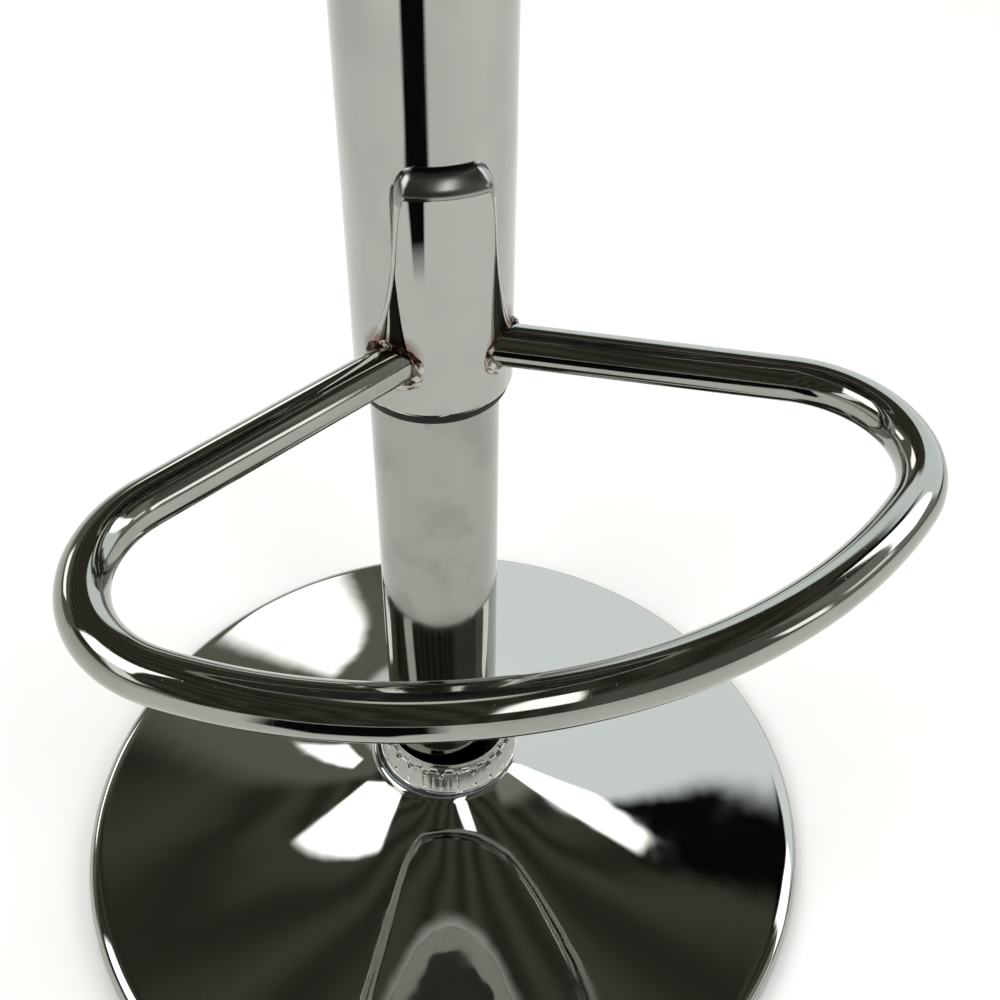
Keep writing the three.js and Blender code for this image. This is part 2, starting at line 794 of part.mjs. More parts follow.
// The seat plate: a pressed tray with a flange, a tapered socket and two ears for the lever.
function seatPlate() {
  const inside = TRAY_HALF - PLATE_SHEET;
  const socketTop = CYLINDER_TOP - 1.5;
  const floor = PLATE_BOTTOM + PLATE_SHEET;
  const tray = toSolid(squareBlock(TRAY_HALF, TRAY_CORNER, PLATE_BOTTOM, PLATE_TOP)).add(
    toSolid(squareBlock(FLANGE_HALF, FLANGE_CORNER, PLATE_TOP - PLATE_SHEET, PLATE_TOP)),
  );
  const hollow = toSolid(squareBlock(inside, TRAY_CORNER - PLATE_SHEET, floor, PLATE_TOP + 5));
  const socket = revolve(
    [
      [0, PLATE_BOTTOM],
      [SOCKET_RADIUS, PLATE_BOTTOM],
      [SOCKET_RADIUS, socketTop],
      [0, socketTop],
    ],
    20,
  );
  const bore = revolve(
    [
      [0, PLATE_BOTTOM - 2],
      [taperRadius(PLATE_BOTTOM - 2) + GAP, PLATE_BOTTOM - 2],
      [taperRadius(socketTop + 2) + GAP, socketTop + 2],
      [0, socketTop + 2],
    ],
    20,
  );
  const ear = (y) => {
    const sides = [y - EAR_HALF, y + EAR_HALF];
    return toSolid(box(PIVOT_X - 6, PIVOT_X + 8, ...sides, floor - 1, PIVOT_Z + 6));
  };
  const slotWidth = [-LEVER_SLOT_HALF, LEVER_SLOT_HALF];
  const slot = toSolid(
    box(inside - 2, TRAY_HALF + 2, ...slotWidth, LEVER_SLOT_BOTTOM, LEVER_SLOT_TOP),
  );
  const pinHole = toSolid(rod(PIVOT_BORE, 40, PIVOT_X, 0, PIVOT_Z, 14));
  let plate = tray.subtract(hollow).add(toSolid(socket)).add(ear(-EAR_PLACE)).add(ear(EAR_PLACE));
  plate = plate.subtract(toSolid(bore)).subtract(slot).subtract(pinHole);
  for (const [x, y] of screwPlaces()) {
    plate = plate.subtract(toSolid(rod(SCREW_HOLE, 12, x, y, PLATE_TOP - 2, 12, true)));
  }
  return toGeometry(plate);
}

function seatScrew(x, y) {
  const under = PLATE_TOP - PLATE_SHEET - GAP;
  const profile = [
    [0, under - 4.2],
    [4.5, under - 4.2],
    [SCREW_HEAD, under - 2.6],
    [SCREW_HEAD, under],
    [SCREW_RADIUS, under],
    [SCREW_RADIUS, PAN_BOTTOM + PAN_THICKNESS - 1],
    [0, PAN_BOTTOM + PAN_THICKNESS - 1],
  ];
  return revolve(profile, 8).translate(x, y, 0);
}

function teeNut(x, y) {
  const top = PAN_BOTTOM + PAN_THICKNESS;
  const profile = [
    [SCREW_RADIUS + 0.4, top - 9],
    [TEE_NUT_BARREL, top - 9],
    [TEE_NUT_BARREL, top + GAP],
    [TEE_NUT_FLANGE, top + GAP],
    [TEE_NUT_FLANGE, top + 1.6],
    [SCREW_RADIUS + 0.4, top + 1.6],
  ];
  return revolve(profile, 8).translate(x, y, 0);
}

function seatPan() {
  const top = PAN_BOTTOM + PAN_THICKNESS;
  const disc = revolve(
    [
      [0, PAN_BOTTOM],
      [PAN_RADIUS - 1.5, PAN_BOTTOM],
      [PAN_RADIUS, PAN_BOTTOM + 1.5],
      [PAN_RADIUS, top - 1.5],
      [PAN_RADIUS - 1.5, top],
      [0, top],
    ],
    ROUND_SIDES,
  );
  const holes = screwPlaces().map(([x, y]) => rod(TEE_NUT_HOLE, 30, x, y, top - 5, 8, true));
  return cut(disc, ...holes);
}

// The band round the seat: a thin strip with three rolled ribs and a lip turned in under the pan.
function seatBand() {
  const ribs = 3;
  const rows = 12;
  const outline = [];
  for (let i = 0; i <= rows; i++) {
    const share = i / rows;
    const depth = (BAND_RIB * (1 + Math.cos(2 * Math.PI * ribs * share))) / 2;
    outline.push([BAND_RADIUS - depth, BAND_BOTTOM + BAND_HEIGHT * share]);
  }
  const top = BAND_BOTTOM + BAND_HEIGHT;
  const inside = BAND_RADIUS - BAND_RIB - BAND_WALL;
  const lipTop = BAND_BOTTOM + 2.2;
  return revolve(
    [
      ...outline,
      [inside, top],
      [inside, lipTop],
      [PAN_RADIUS - BAND_LIP, lipTop],
      [PAN_RADIUS - BAND_LIP, BAND_BOTTOM],
    ],
    ROUND_SIDES,
  );
}

function seatPiping() {
  const section = circlePoints(PIPING_RADIUS, 6);
  const outline = section.map((p) => [p.x + PIPING_CIRCLE, p.y + PIPING_HEIGHT]);
  return revolve(outline, ROUND_SIDES);
}

// The cushion: a flat underside, a side that goes down inside the band, a drawn-in seam for the
// piping, a swelling side above it and a crowned top.
function seatCushion() {
  const bottom = PAN_BOTTOM + PAN_THICKNESS + 2;
  const seam = PIPING_HEIGHT;
  const side = CUSHION_SIDE;
  const swell = new THREE.CubicBezierCurve(
    new THREE.Vector2(side, seam + 4),
    new THREE.Vector2(195, seam + 10),
    new THREE.Vector2(190, SEAT_TOP - 15),
    new THREE.Vector2(165, SEAT_TOP - 9),
  );
  const crown = new THREE.CubicBezierCurve(
    new THREE.Vector2(165, SEAT_TOP - 9),
    new THREE.Vector2(125, SEAT_TOP - 1),
    new THREE.Vector2(60, SEAT_TOP),
    new THREE.Vector2(0, SEAT_TOP),
  );
  const outline = [
    [0, bottom],
    [side - 6, bottom],
    [side + 3, bottom + 3],
    [side + 3, seam - 6],
    [side, seam - 3.6],
    ...swell.getPoints(6).map((p) => [p.x, p.y]),
    ...crown.getPoints(5).slice(1).map((p) => [p.x, p.y]),
  ];
  return revolve(outline, ROUND_SIDES);
}

// Lever

// A point on the lever's straight end: 0 at the bend, 1 at the tip.
function leverPoint(share) {
  const x = LEVER_END_X - LEVER_RUN * (1 - share);
  const z = LEVER_END_Z + LEVER_FALL * (1 - share);
  return new THREE.Vector3(x, 0, z);
}

// The lift lever: a rod with an eye round the pivot pin and a flat tongue over the valve pin.
function liftLever() {
  const path = new THREE.CurvePath();
  const knee = new THREE.Vector3(PIVOT_X + 4, 0, PIVOT_Z - 1);
  const bend = leverPoint(0);
  path.add(
    new THREE.CubicBezierCurve3(
      knee,
      new THREE.Vector3(PIVOT_X + 30, 0, PIVOT_Z - 6),
      new THREE.Vector3(bend.x - 35, 0, bend.z + 3),
      bend,
    ),
  );
  path.add(new THREE.LineCurve3(bend, leverPoint(0.93)));
  const section = new THREE.Shape(circlePoints(LEVER_RADIUS, 8));
  const bar = new THREE.ExtrudeGeometry(section, { steps: 14, extrudePath: path });
  const eye = rod(LEVER_EYE, LEVER_EYE_LENGTH, PIVOT_X, 0, PIVOT_Z, 14);
  const tongueTop = TONGUE_BOTTOM + TONGUE_THICKNESS;
  const tongue = box(TONGUE_END_X, PIVOT_X, -TONGUE_HALF, TONGUE_HALF, TONGUE_BOTTOM, tongueTop);
  const pinBore = rod(PIVOT_BORE, 30, PIVOT_X, 0, PIVOT_Z, 14);
  return toGeometry(
    toSolid(bar)
      .add(toSolid(eye))
      .add(toSolid(tongue))
      .subtract(toSolid(pinBore)),
  );
}

function leverPivot() {
  return rod(PIVOT_RADIUS, PIVOT_LENGTH, PIVOT_X, 0, PIVOT_Z, 14);
}

// The moulded grip, about its own axis: it is turned into place over the lever's end.
function leverGrip() {
  const bore = LEVER_RADIUS + 0.4;
  return revolve(
    [
      [bore, 0],
      [6, 0],
      [6.8, 1.5],
      [6.2, 14],
      [6.8, 30],
      [7.2, GRIP_LENGTH - 8],
      [6, GRIP_LENGTH - 2],
      [3.5, GRIP_LENGTH],
      [0, GRIP_LENGTH],
      [0, GRIP_LENGTH - 4],
      [bore, GRIP_LENGTH - 4],
    ],
    12,
  );
}

// Finishes
const finishes = {
  chrome: { color: 0xd4d5d3, roughness: 0.06, metalness: 1 },
  steel: { color: 0x8c8d8c, roughness: 0.4, metalness: 0.9 },
  zinc: { color: 0xb9bab4, roughness: 0.35, metalness: 0.9 },
  weldMetal: { color: 0xb5aca3, roughness: 0.28, metalness: 1 },
  blackSteel: { color: 0x1c1c1d, roughness: 0.5, metalness: 0.2 },
  nylon: { color: 0x161616, roughness: 0.5, metalness: 0 },
  rubber: { color: 0x1b1b1c, roughness: 0.8, metalness: 0 },
  plywood: { color: 0x2a2622, roughness: 0.7, metalness: 0 },
  vinyl: { color: 0x8e1216, roughness: 0.35, metalness: 0 },
};

const stool = new THREE.Group();

function add(name, geometry, finish, parent = stool) {
  const mesh = new THREE.Mesh(geometry, new THREE.MeshStandardMaterial(finishes[finish]));
  mesh.name = name;
  parent.add(mesh);
  return mesh;
}

add("floor_ring", floorRing(), "rubber");
add("base_shell", baseShell(), "chrome");
add("ballast_plate", ballastPlate(), "steel");
add("base_hub", baseHub(), "steel");
add("collar_gasket", collarGasket(), "rubber");
add("column_collar", columnCollar(), "chrome");
add("column_tube", columnTube(), "chrome");
add("guide_bush", guideBush(), "nylon");
add("tube_end_disc", tubeEndDisc(), "steel");
add("lower_race", race(END_DISC_TOP + GAP, ROD_RADIUS + 0.6), "steel");

add("ball_cage", ballCage(), "zinc");
add("upper_race", race(BALL_MIDDLE + BALL_RADIUS + 0.35, ROD_RADIUS + 0.4), "steel");
add("bump_stop", bumpStop(), "rubber");
add("rod_washer", ring(9, ROD_RADIUS + 0.4, WASHER_BOTTOM, WASHER_BOTTOM + 0.7, 12), "zinc");
add("rod_clip", rodClip(), "zinc");
add("piston_rod", pistonRod(), "steel");
add("piston", piston(), "zinc");

add("pressure_cylinder", pressureCylinder(), "blackSteel");
add("rod_gland", rodGland(), "nylon");
add("column_sleeve", columnSleeve(), "chrome");
add("sleeve_bush", sleeveBush(), "nylon");
add("sleeve_hub", sleeveHub(), "steel");
add("sleeve_cap", sleeveCap(), "nylon");
add("foot_ring", footRing(), "chrome");
add("weld_right", weld(1), "weldMetal");
add("weld_left", weld(-1), "weldMetal");

add("seat_plate", seatPlate(), "blackSteel");
screwPlaces().forEach(([x, y], i) => {
  add(`seat_screw_${i + 1}`, seatScrew(x, y), "zinc");
  add(`tee_nut_${i + 1}`, teeNut(x, y), "zinc");
});
add("seat_pan", seatPan(), "plywood");
add("seat_band", seatBand(), "chrome");
add("seat_piping", seatPiping(), "vinyl");
add("seat_cushion", seatCushion(), "vinyl");

add("lever_pivot", leverPivot(), "zinc");
add("lift_lever", liftLever(), "zinc");
const gripHolder = new THREE.Group();
const gripStart = leverPoint(GRIP_START);
const gripAxis = leverPoint(1).sub(leverPoint(0)).normalize();
gripHolder.position.copy(gripStart);
gripHolder.quaternion.setFromUnitVectors(new THREE.Vector3(0, 0, 1), gripAxis);
stool.add(gripHolder);
add("lever_grip", leverGrip(), "nylon", gripHolder);
add("valve_pin", valvePin(), "zinc");

export default stool;
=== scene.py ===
import json
from functools import partial
from math import atan2, cos, exp, pi, radians, sin, sqrt

import bmesh
import bpy
import numpy as np
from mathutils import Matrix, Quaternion, Vector
from mathutils.bvhtree import BVHTree


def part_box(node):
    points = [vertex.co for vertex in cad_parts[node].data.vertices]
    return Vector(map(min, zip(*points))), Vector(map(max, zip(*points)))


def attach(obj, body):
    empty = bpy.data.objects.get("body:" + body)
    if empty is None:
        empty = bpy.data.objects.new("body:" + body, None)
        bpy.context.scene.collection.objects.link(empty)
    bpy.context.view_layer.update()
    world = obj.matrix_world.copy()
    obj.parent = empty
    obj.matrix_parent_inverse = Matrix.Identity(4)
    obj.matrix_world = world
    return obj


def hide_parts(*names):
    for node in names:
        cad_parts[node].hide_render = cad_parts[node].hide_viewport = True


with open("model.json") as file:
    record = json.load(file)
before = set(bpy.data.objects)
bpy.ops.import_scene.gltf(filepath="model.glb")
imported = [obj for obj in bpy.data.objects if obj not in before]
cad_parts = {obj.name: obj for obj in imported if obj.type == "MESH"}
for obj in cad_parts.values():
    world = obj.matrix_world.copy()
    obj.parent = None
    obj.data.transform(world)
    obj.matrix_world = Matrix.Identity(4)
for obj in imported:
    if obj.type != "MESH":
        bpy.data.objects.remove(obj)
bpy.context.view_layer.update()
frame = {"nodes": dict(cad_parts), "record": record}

MM = 0.001
TAU = 2 * pi


def radius_of(node):
    """The widest radius of a round CAD node."""
    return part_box(node)[1].x


def heights_of(node):
    """The heights at which a CAD node starts and ends."""
    low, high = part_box(node)
    return low.z, high.z


# Sizes in metres, read from the frame where it tells them
BASE_RADIUS = radius_of("base_shell")
BASE_NECK_TOP = heights_of("base_shell")[1]
BASE_NECK_RADIUS = 35.2 * MM
BASE_SHEET = 1.5 * MM
BRIM_WIDTH = 9 * MM
BRIM_HEIGHT = 11 * MM
BRIM_UPRIGHT = 4 * MM
FLARE_NEAR = (51 * MM, 44 * MM)  # the flare's two handles, as radius and height
FLARE_FAR = (90 * MM, 25.4 * MM)
TUBE_RADIUS = radius_of("column_tube")
TUBE_BOTTOM, TUBE_TOP = heights_of("column_tube")
TUBE_WALL = 2.1 * MM
TUBE_TAPER = 30 * MM
GASKET_RADIUS = 34.2 * MM
GASKET_BORE = 26.8 * MM

COLLAR_FOOT, COLLAR_TOP = heights_of("column_collar")
FLUTES = 24
FLUTE_STEPS = 32

SLEEVE_RADIUS = 30 * MM
SLEEVE_BOTTOM, SLEEVE_TOP = heights_of("column_sleeve")
SLEEVE_WALL = 1.5 * MM
PANEL_TOP = 100.7 * MM  # over the sleeve's lower edge
PANEL_SHOULDER = 8.5 * MM
PANEL_RISE = 7.5 * MM
PANEL_DRAW = 0.8 * MM
PANEL_TURN = radians(-5)
PANEL_HALF_WIDTH = radians(27)
PANEL_FLARE = radians(24)
PANEL_FLARE_FROM = 30 * MM
PANEL_FLARE_FADE = 22 * MM
BUSH_RADIUS = 28.5 * MM
BUSH_BELOW = 4.2 * MM
BUSH_INSIDE = 26 * MM

RING_HEIGHT = sum(heights_of("foot_ring")) / 2
RING_TUBE = 8 * MM
RING_ARM_ANGLE = radians(28.3)
RING_ARM_OFFSET = 10.5 * MM
RING_BEND = 42.3 * MM
RING_FRONT = 190.3 * MM
RING_REACH = 180.7 * MM
WELD_PUDDLES = 13

BAND_LOW, BAND_HIGH = heights_of("seat_band")
BAND_RADIUS = radius_of("seat_band")
BAND_RIBS = 3
BAND_RIB = 1.8 * MM
BAND_WALL = 1.2 * MM
BAND_LIP = 14 * MM
BAND_FLOOR = 2.2 * MM
PAN_LOW, PAN_HIGH = heights_of("seat_pan")
PAN_RADIUS = radius_of("seat_pan")
PIPING_RADIUS = 3 * MM
PIPING_CIRCLE = 188.2 * MM
PIPING_HEIGHT = sum(heights_of("seat_piping")) / 2
CUSHION_LOW, CUSHION_TOP = heights_of("seat_cushion")
CUSHION_SIDE = 184.4 * MM
CLOTH_FRAMES = 20
CLOTH_PRESSURE = 4
STITCH_CIRCLE = 170 * MM
STITCH = {"Pitch": 4.6 * MM, "Length": 3.8 * MM, "Thickness": 0.9 * MM}
SCREW_SPACING = 144 * MM
SCREW_HEAD = 4.2 * MM

PIVOT, LEVER_BEND, LEVER_END = np.array([(30.0, 0, 708.0), (114.0, 0, 686.0), (184.0, 0, 680.0)]) * MM


def new_object(name, data):
    made = bpy.data.objects.new(name, data)
    bpy.context.scene.collection.objects.link(made)
    return made


# Camera: the photograph's place, direction and lens
CAMERA_PLACE = Vector((-97.0, -382.5, 579.9)) * MM
CAMERA_HEADING = Vector((0.3080, 0.9514, 0.0))
CAMERA_PITCH = radians(40.2)
CAMERA_ROLL = radians(0.84)
CAMERA_LENS = 46.44
CAMERA_SHIFT = -0.05


def make_camera():
    data = bpy.data.cameras.new("camera")
    data.lens = CAMERA_LENS
    data.sensor_width = 36
    data.shift_y = CAMERA_SHIFT
    data.clip_start = 0.02
    camera = new_object("camera", data)
    ahead = CAMERA_HEADING.normalized() * cos(CAMERA_PITCH) - Vector((0, 0, sin(CAMERA_PITCH)))
    camera.rotation_mode = "QUATERNION"
    camera.rotation_quaternion = ahead.to_track_quat("-Z", "Y") @ Quaternion((0, 0, 1), CAMERA_ROLL)
    camera.location = CAMERA_PLACE
    bpy.context.scene.camera = camera


make_camera()


# Node trees
NOISE, VORONOI, WAVE = "ShaderNodeTexNoise", "ShaderNodeTexVoronoi", "ShaderNodeTexWave"
MAPPING, RANGE, MATH = "ShaderNodeMapping", "ShaderNodeMapRange", "ShaderNodeMath"
SPLIT, VECTOR_MATH, ATTRIBUTE = "ShaderNodeSeparateXYZ", "ShaderNodeVectorMath", "ShaderNodeAttribute"
MIX, MIX_SHADER, BUMP = "ShaderNodeMix", "ShaderNodeMixShader", "ShaderNodeBump"
SHARE, FIRST, SECOND = 0, 6, 7  # the sockets of a Mix node of colours
COLOURS = {"out": 2, "data_type": "RGBA"}
FROM, UPTO, LOW, HIGH = "From Min", "From Max", "To Min", "To Max"  # the sockets of a Map Range node
SOFTLY = {"interpolation_type": "SMOOTHSTEP"}


def linear(code, strength=1.0):
    """An sRGB hex value such as C4C5C5 as linear colour."""
    parts = [int(code[i : i + 2], 16) / 255 for i in (0, 2, 4)]
    curve = [p / 12.92 if p <= 0.04045 else ((p + 0.055) / 1.055) ** 2.4 for p in parts]
    return (*[strength * p for p in curve], 1.0)


def add_node(tree, kind, inputs=None, out=0, **settings):
    """Adds a node. inputs gives, by socket, a value, a colour's code or the socket that feeds it. out picks
    the output that comes back, or all of them where it is None."""
    made = tree.nodes.new(kind)
    for name, value in settings.items():
        setattr(made, name, value)
    for name, value in (inputs or {}).items():
        if isinstance(value, bpy.types.NodeSocket):
            tree.links.new(value, made.inputs[name])
        else:
            made.inputs[name].default_value = linear(value) if isinstance(value, str) else value
    return made.outputs if out is None else made.outputs[out]


def start_material(name):
    """A new material, the function that adds a node to it, and the piece's own coordinates."""
    material = bpy.data.materials.new(name)
    material.use_nodes = True
    material.node_tree.nodes.clear()
    add = partial(add_node, material.node_tree)
    return material, add, add("ShaderNodeTexCoord", out="Object")


def end_material(material, shade, dullness, normal=None, **others):
    """Closes a material with a Principled shader that holds or reads these values."""
    values = {"Base Color": shade, "Roughness": dullness, **others}
    if normal is not None:
        values["Normal"] = normal
    shader = add_node(material.node_tree, "ShaderNodeBsdfPrincipled", values)
    add_node(material.node_tree, "ShaderNodeOutputMaterial", {"Surface": shader}, None)
    return material


# Materials
def chrome(name, tint, roughness, waviness=0.012 * MM, scratch_depth=0.0012 * MM, stains=0.06, scorched=(),
           with_painted_crease_shade=False):
    """Bright chrome plate over polished steel: a mirror that shows the polishing's slight waviness, hairline
    scratches from wiping and, here and there, a pit. Round a scorched place, given with its reach, it is
    stained brown by the heat of welding. On a pressed panel, painted shade darkens the crease and the metal
    the pressing has worked beside it, which is also duller."""
    material, add, place = start_material(name)
    waves = add(NOISE, {"Vector": place, "Scale": 1 / (16 * MM), "Detail": 1.0})
    drawn = add(MAPPING, {"Vector": place, "Scale": (1.0, 1.0, 0.06)})
    hairs = add(NOISE, {"Vector": drawn, "Scale": 1 / (0.9 * MM), "Detail": 3.0})
    lines = add(RANGE, {"Value": hairs, FROM: 0.66, UPTO: 0.72})
    cells = add(VORONOI, {"Vector": place, "Scale": 1 / (7 * MM)}, None)
    spots = add(RANGE, {"Value": cells["Distance"], FROM: 0.045, UPTO: 0.03})
    some = add(RANGE, {"Value": cells["Color"], FROM: 0.80, UPTO: 0.82})
    pits = add(MATH, {0: spots, 1: some}, operation="MULTIPLY")
    smudge = add(NOISE, {"Vector": place, "Scale": 1 / (22 * MM), "Detail": 4.0})
    haze = add(RANGE, {"Value": smudge, FROM: 0.45, UPTO: 0.75, LOW: roughness, HIGH: roughness + 0.05})
    stained = add(RANGE, {"Value": smudge, FROM: 0.46, UPTO: 0.6, HIGH: stains})
    clean = add(MIX, {SHARE: stained, FIRST: tint, SECOND: "4B4C49"}, **COLOURS)
    shade = add(MIX, {SHARE: pits, FIRST: clean, SECOND: "2A2825"}, **COLOURS)
    for spot, reach in scorched:
        away = add(VECTOR_MATH, {0: place, 1: spot}, "Value", operation="DISTANCE")
        ragged = add(MATH, {0: smudge, 1: 9 * MM, 2: away}, operation="MULTIPLY_ADD")
        heat = add(RANGE, {"Value": ragged, FROM: reach + 4.5 * MM, UPTO: reach, HIGH: 0.8})
        shade = add(MIX, {SHARE: heat, FIRST: shade, SECOND: "69493B"}, **COLOURS)
    if with_painted_crease_shade:
        # Painted shade: the panel's crease is darkened as if shaded
        crease = add(ATTRIBUTE, out="Fac", attribute_name="crease")
        painted_crease_shade = add(RANGE, {"Value": crease, HIGH: 0.9})
        shade = add(MIX, {SHARE: painted_crease_shade, FIRST: shade, SECOND: "242526"}, **COLOURS)
        # Painted shade: the metal the pressing has worked is darkened; below it is also made rougher
        worked = add(ATTRIBUTE, out="Fac", attribute_name="worked")
        painted_worked_shade = add(RANGE, {"Value": worked, HIGH: 0.45})
        shade = add(MIX, {SHARE: painted_worked_shade, FIRST: shade, SECOND: "3C3D3D"}, **COLOURS)
        haze = add(MATH, {0: worked, 1: 0.2, 2: haze}, operation="MULTIPLY_ADD")
    wavy = add(BUMP, {"Height": waves, "Distance": waviness})
    scratched = add(BUMP, {"Height": lines, "Distance": scratch_depth, "Normal": wavy}, invert=True)
    pitted = add(BUMP, {"Height": pits, "Distance": 0.02 * MM, "Normal": scratched}, invert=True)
    return end_material(material, shade, haze, pitted, Metallic=1.0)


def weld_metal():
    """A hand-laid weld bead, plated over: rippled, a little dull, and burnt brown along its upper side."""
    material, add, place = start_material("plated_weld_bead")
    heat = add(NOISE, {"Vector": place, "Scale": 1 / (5 * MM), "Detail": 4.0})
    height = add(SPLIT, {"Vector": place}, "Z")
    upper = add(RANGE, {"Value": height, FROM: RING_HEIGHT - 5 * MM, UPTO: RING_HEIGHT + 5 * MM, LOW: -0.15,
                        HIGH: 0.2})
    hotter = add(MATH, {0: heat, 1: upper}, operation="ADD")
    burnt = add(RANGE, {"Value": hotter, FROM: 0.48, UPTO: 0.62})
    shade = add(MIX, {SHARE: burnt, FIRST: "B5B0A9", SECOND: "3A261C"}, **COLOURS)
    dull = add(RANGE, {"Value": heat, LOW: 0.08, HIGH: 0.3})
    ripple = add(NOISE, {"Vector": place, "Scale": 1 / (1.1 * MM), "Detail": 3.0})
    uneven = add(BUMP, {"Height": ripple, "Distance": 0.25 * MM})
    return end_material(material, shade, dull, uneven, Metallic=1.0)


def turned_steel():
    """Steel left as it came off the lathe, lightly oiled: fine rings round the axis and a patchy oil film."""
    material, add, place = start_material("turned_oiled_steel")
    rings = add(WAVE, {"Vector": place, "Scale": 1 / (3.2 * MM), "Distortion": 0.4}, "Fac",
                wave_type="RINGS", rings_direction="Z")
    film = add(NOISE, {"Vector": place, "Scale": 1 / (18 * MM), "Detail": 5.0})
    shade = add(MIX, {SHARE: film, FIRST: "8E8F8E", SECOND: "77756F"}, **COLOURS)
    worn = add(RANGE, {"Value": film, LOW: 0.28, HIGH: 0.48})
    cut = add(BUMP, {"Height": rings, "Distance": 0.01 * MM})
    return end_material(material, shade, worn, cut, Metallic=1.0)


def zinc_plate():
    """Bright zinc with a blue passivation: soft gloss, a faint spangle and a yellowish cast in places."""
    material, add, place = start_material("bright_zinc_plate")
    grains = add(VORONOI, {"Vector": place, "Scale": 1 / (2.2 * MM)}, "Color")
    cast = add(NOISE, {"Vector": place, "Scale": 1 / (9 * MM), "Detail": 2.0})
    shade = add(MIX, {SHARE: cast, FIRST: "B4BAC0", SECOND: "C2BEA8"}, **COLOURS)
    gloss = add(RANGE, {"Value": grains, LOW: 0.24, HIGH: 0.4})
    fine = add(NOISE, {"Vector": place, "Scale": 1 / (0.5 * MM), "Detail": 2.0})
    skin = add(BUMP, {"Height": fine, "Distance": 0.008 * MM})
    return end_material(material, shade, gloss, skin, Metallic=1.0)


def seating_steel():
    """A half-polished steel ring: blue-grey and a little streaky."""
    material, add, place = start_material("steel_seating_ring")
    streaks = add(NOISE, {"Vector": place, "Scale": 1 / (3 * MM), "Detail": 4.0})
    shade = add(MIX, {SHARE: streaks, FIRST: "555A5E", SECOND: "979C9F"}, **COLOURS)
    gloss = add(RANGE, {"Value": streaks, LOW: 0.14, HIGH: 0.34})
    return end_material(material, shade, gloss, Metallic=1.0)


def black_skin(name, tints, dullness, patch, grain, depth, specular=0.5):
    """A black skin: patches of two tints and of more or less gloss, over a fine grain of this depth. patch
    and grain are the two patterns' size and detail."""
    material, add, place = start_material(name)
    patches = add(NOISE, {"Vector": place, "Scale": 1 / patch[0], "Detail": patch[1]})
    shade = add(MIX, {SHARE: patches, FIRST: tints[0], SECOND: tints[1]}, **COLOURS)
    dull = add(RANGE, {"Value": patches, LOW: dullness[0], HIGH: dullness[1]})
    relief = add(NOISE, {"Vector": place, "Scale": 1 / grain[0], "Detail": grain[1]})
    skin = add(BUMP, {"Height": relief, "Distance": depth})
    return end_material(material, shade, dull, skin, **{"Specular IOR Level": specular})


def seat_vinyl(name, deep, bright):
    """Expanded upholstery vinyl: a red skin embossed with a fine leather grain, glossier on the raised cells
    and with painted shade darkening the creases between them."""
    material, add, place = start_material(name)
    warp = add(NOISE, {"Vector": place, "Scale": 1 / (4 * MM), "Detail": 2.0}, "Color")
    bent = add(MIX, {SHARE: 0.0006, FIRST: place, SECOND: warp}, **COLOURS)
    cells = add(VORONOI, {"Vector": bent, "Scale": 1 / (1.5 * MM)}, "Distance", feature="DISTANCE_TO_EDGE")
    crease = add(RANGE, {"Value": cells, UPTO: 0.16}, **SOFTLY)
    shift = add(NOISE, {"Vector": place, "Scale": 1 / (60 * MM), "Detail": 3.0})
    tone = add(MIX, {SHARE: shift, FIRST: deep, SECOND: bright}, **COLOURS)
    # Painted shade: the grain's creases darkened
    dark = add(RANGE, {"Value": crease, LOW: 0.72})
    shade = add(MIX, {SHARE: 1.0, FIRST: tone, SECOND: dark}, blend_type="MULTIPLY", **COLOURS)
    gloss = add(RANGE, {"Value": crease, LOW: 0.52, HIGH: 0.34})
    grain = add(BUMP, {"Height": crease, "Distance": 0.07 * MM})
    soft = add(NOISE, {"Vector": place, "Scale": 1 / (24 * MM), "Detail": 2.0})
    uneven = add(BUMP, {"Height": soft, "Distance": 0.5 * MM, "Normal": grain})
    return end_material(material, shade, gloss, uneven)


def thread():
    """Bonded nylon thread, dyed a little lighter than the vinyl, with its twist showing."""
    material, add, place = start_material("bonded_thread")
    twist = add(WAVE, {"Vector": place, "Scale": 1 / (2.4 * MM)}, "Fac", bands_direction="DIAGONAL")
    shade = add(MIX, {SHARE: twist, FIRST: "8A1418", SECOND: "B4262A"}, **COLOURS)
    plies = add(BUMP, {"Height": twist, "Distance": 0.1 * MM})
    return end_material(material, shade, 0.5, plies)


def plywood():
    """Plywood stained black and sealed: the long grain still shows as a paler streak, and the veneers along
    the edge as bands."""
    material, add, place = start_material("black_stained_plywood")
    veneers = add(WAVE, {"Vector": place, "Scale": 1 / (9.6 * MM), "Distortion": 0.3}, "Fac",
                  bands_direction="Z")
    drawn = add(MAPPING, {"Vector": place, "Scale": (1.0, 0.06, 0.06)})
    grain = add(NOISE, {"Vector": drawn, "Scale": 1 / (3.5 * MM), "Detail": 5.0, "Distortion": 0.6})
    face = add(MIX, {SHARE: grain, FIRST: "1D1A17", SECOND: "3A332C"}, **COLOURS)
    shade = add(MIX, {SHARE: veneers, FIRST: face, SECOND: "231F1B"}, **COLOURS)
    pores = add(BUMP, {"Height": grain, "Distance": 0.12 * MM})
    return end_material(material, shade, 0.58, pores)


CHROME = chrome("bright_chrome_plate", "A7A8A3", 0.028)
SCORCHED = [((side * 20.5 * MM, -22.5 * MM, 312.5 * MM), 13 * MM) for side in (-1, 1)]
SLEEVE_CHROME = chrome("chromed_sleeve", "A7A8A3", 0.028, scorched=SCORCHED, with_painted_crease_shade=True)
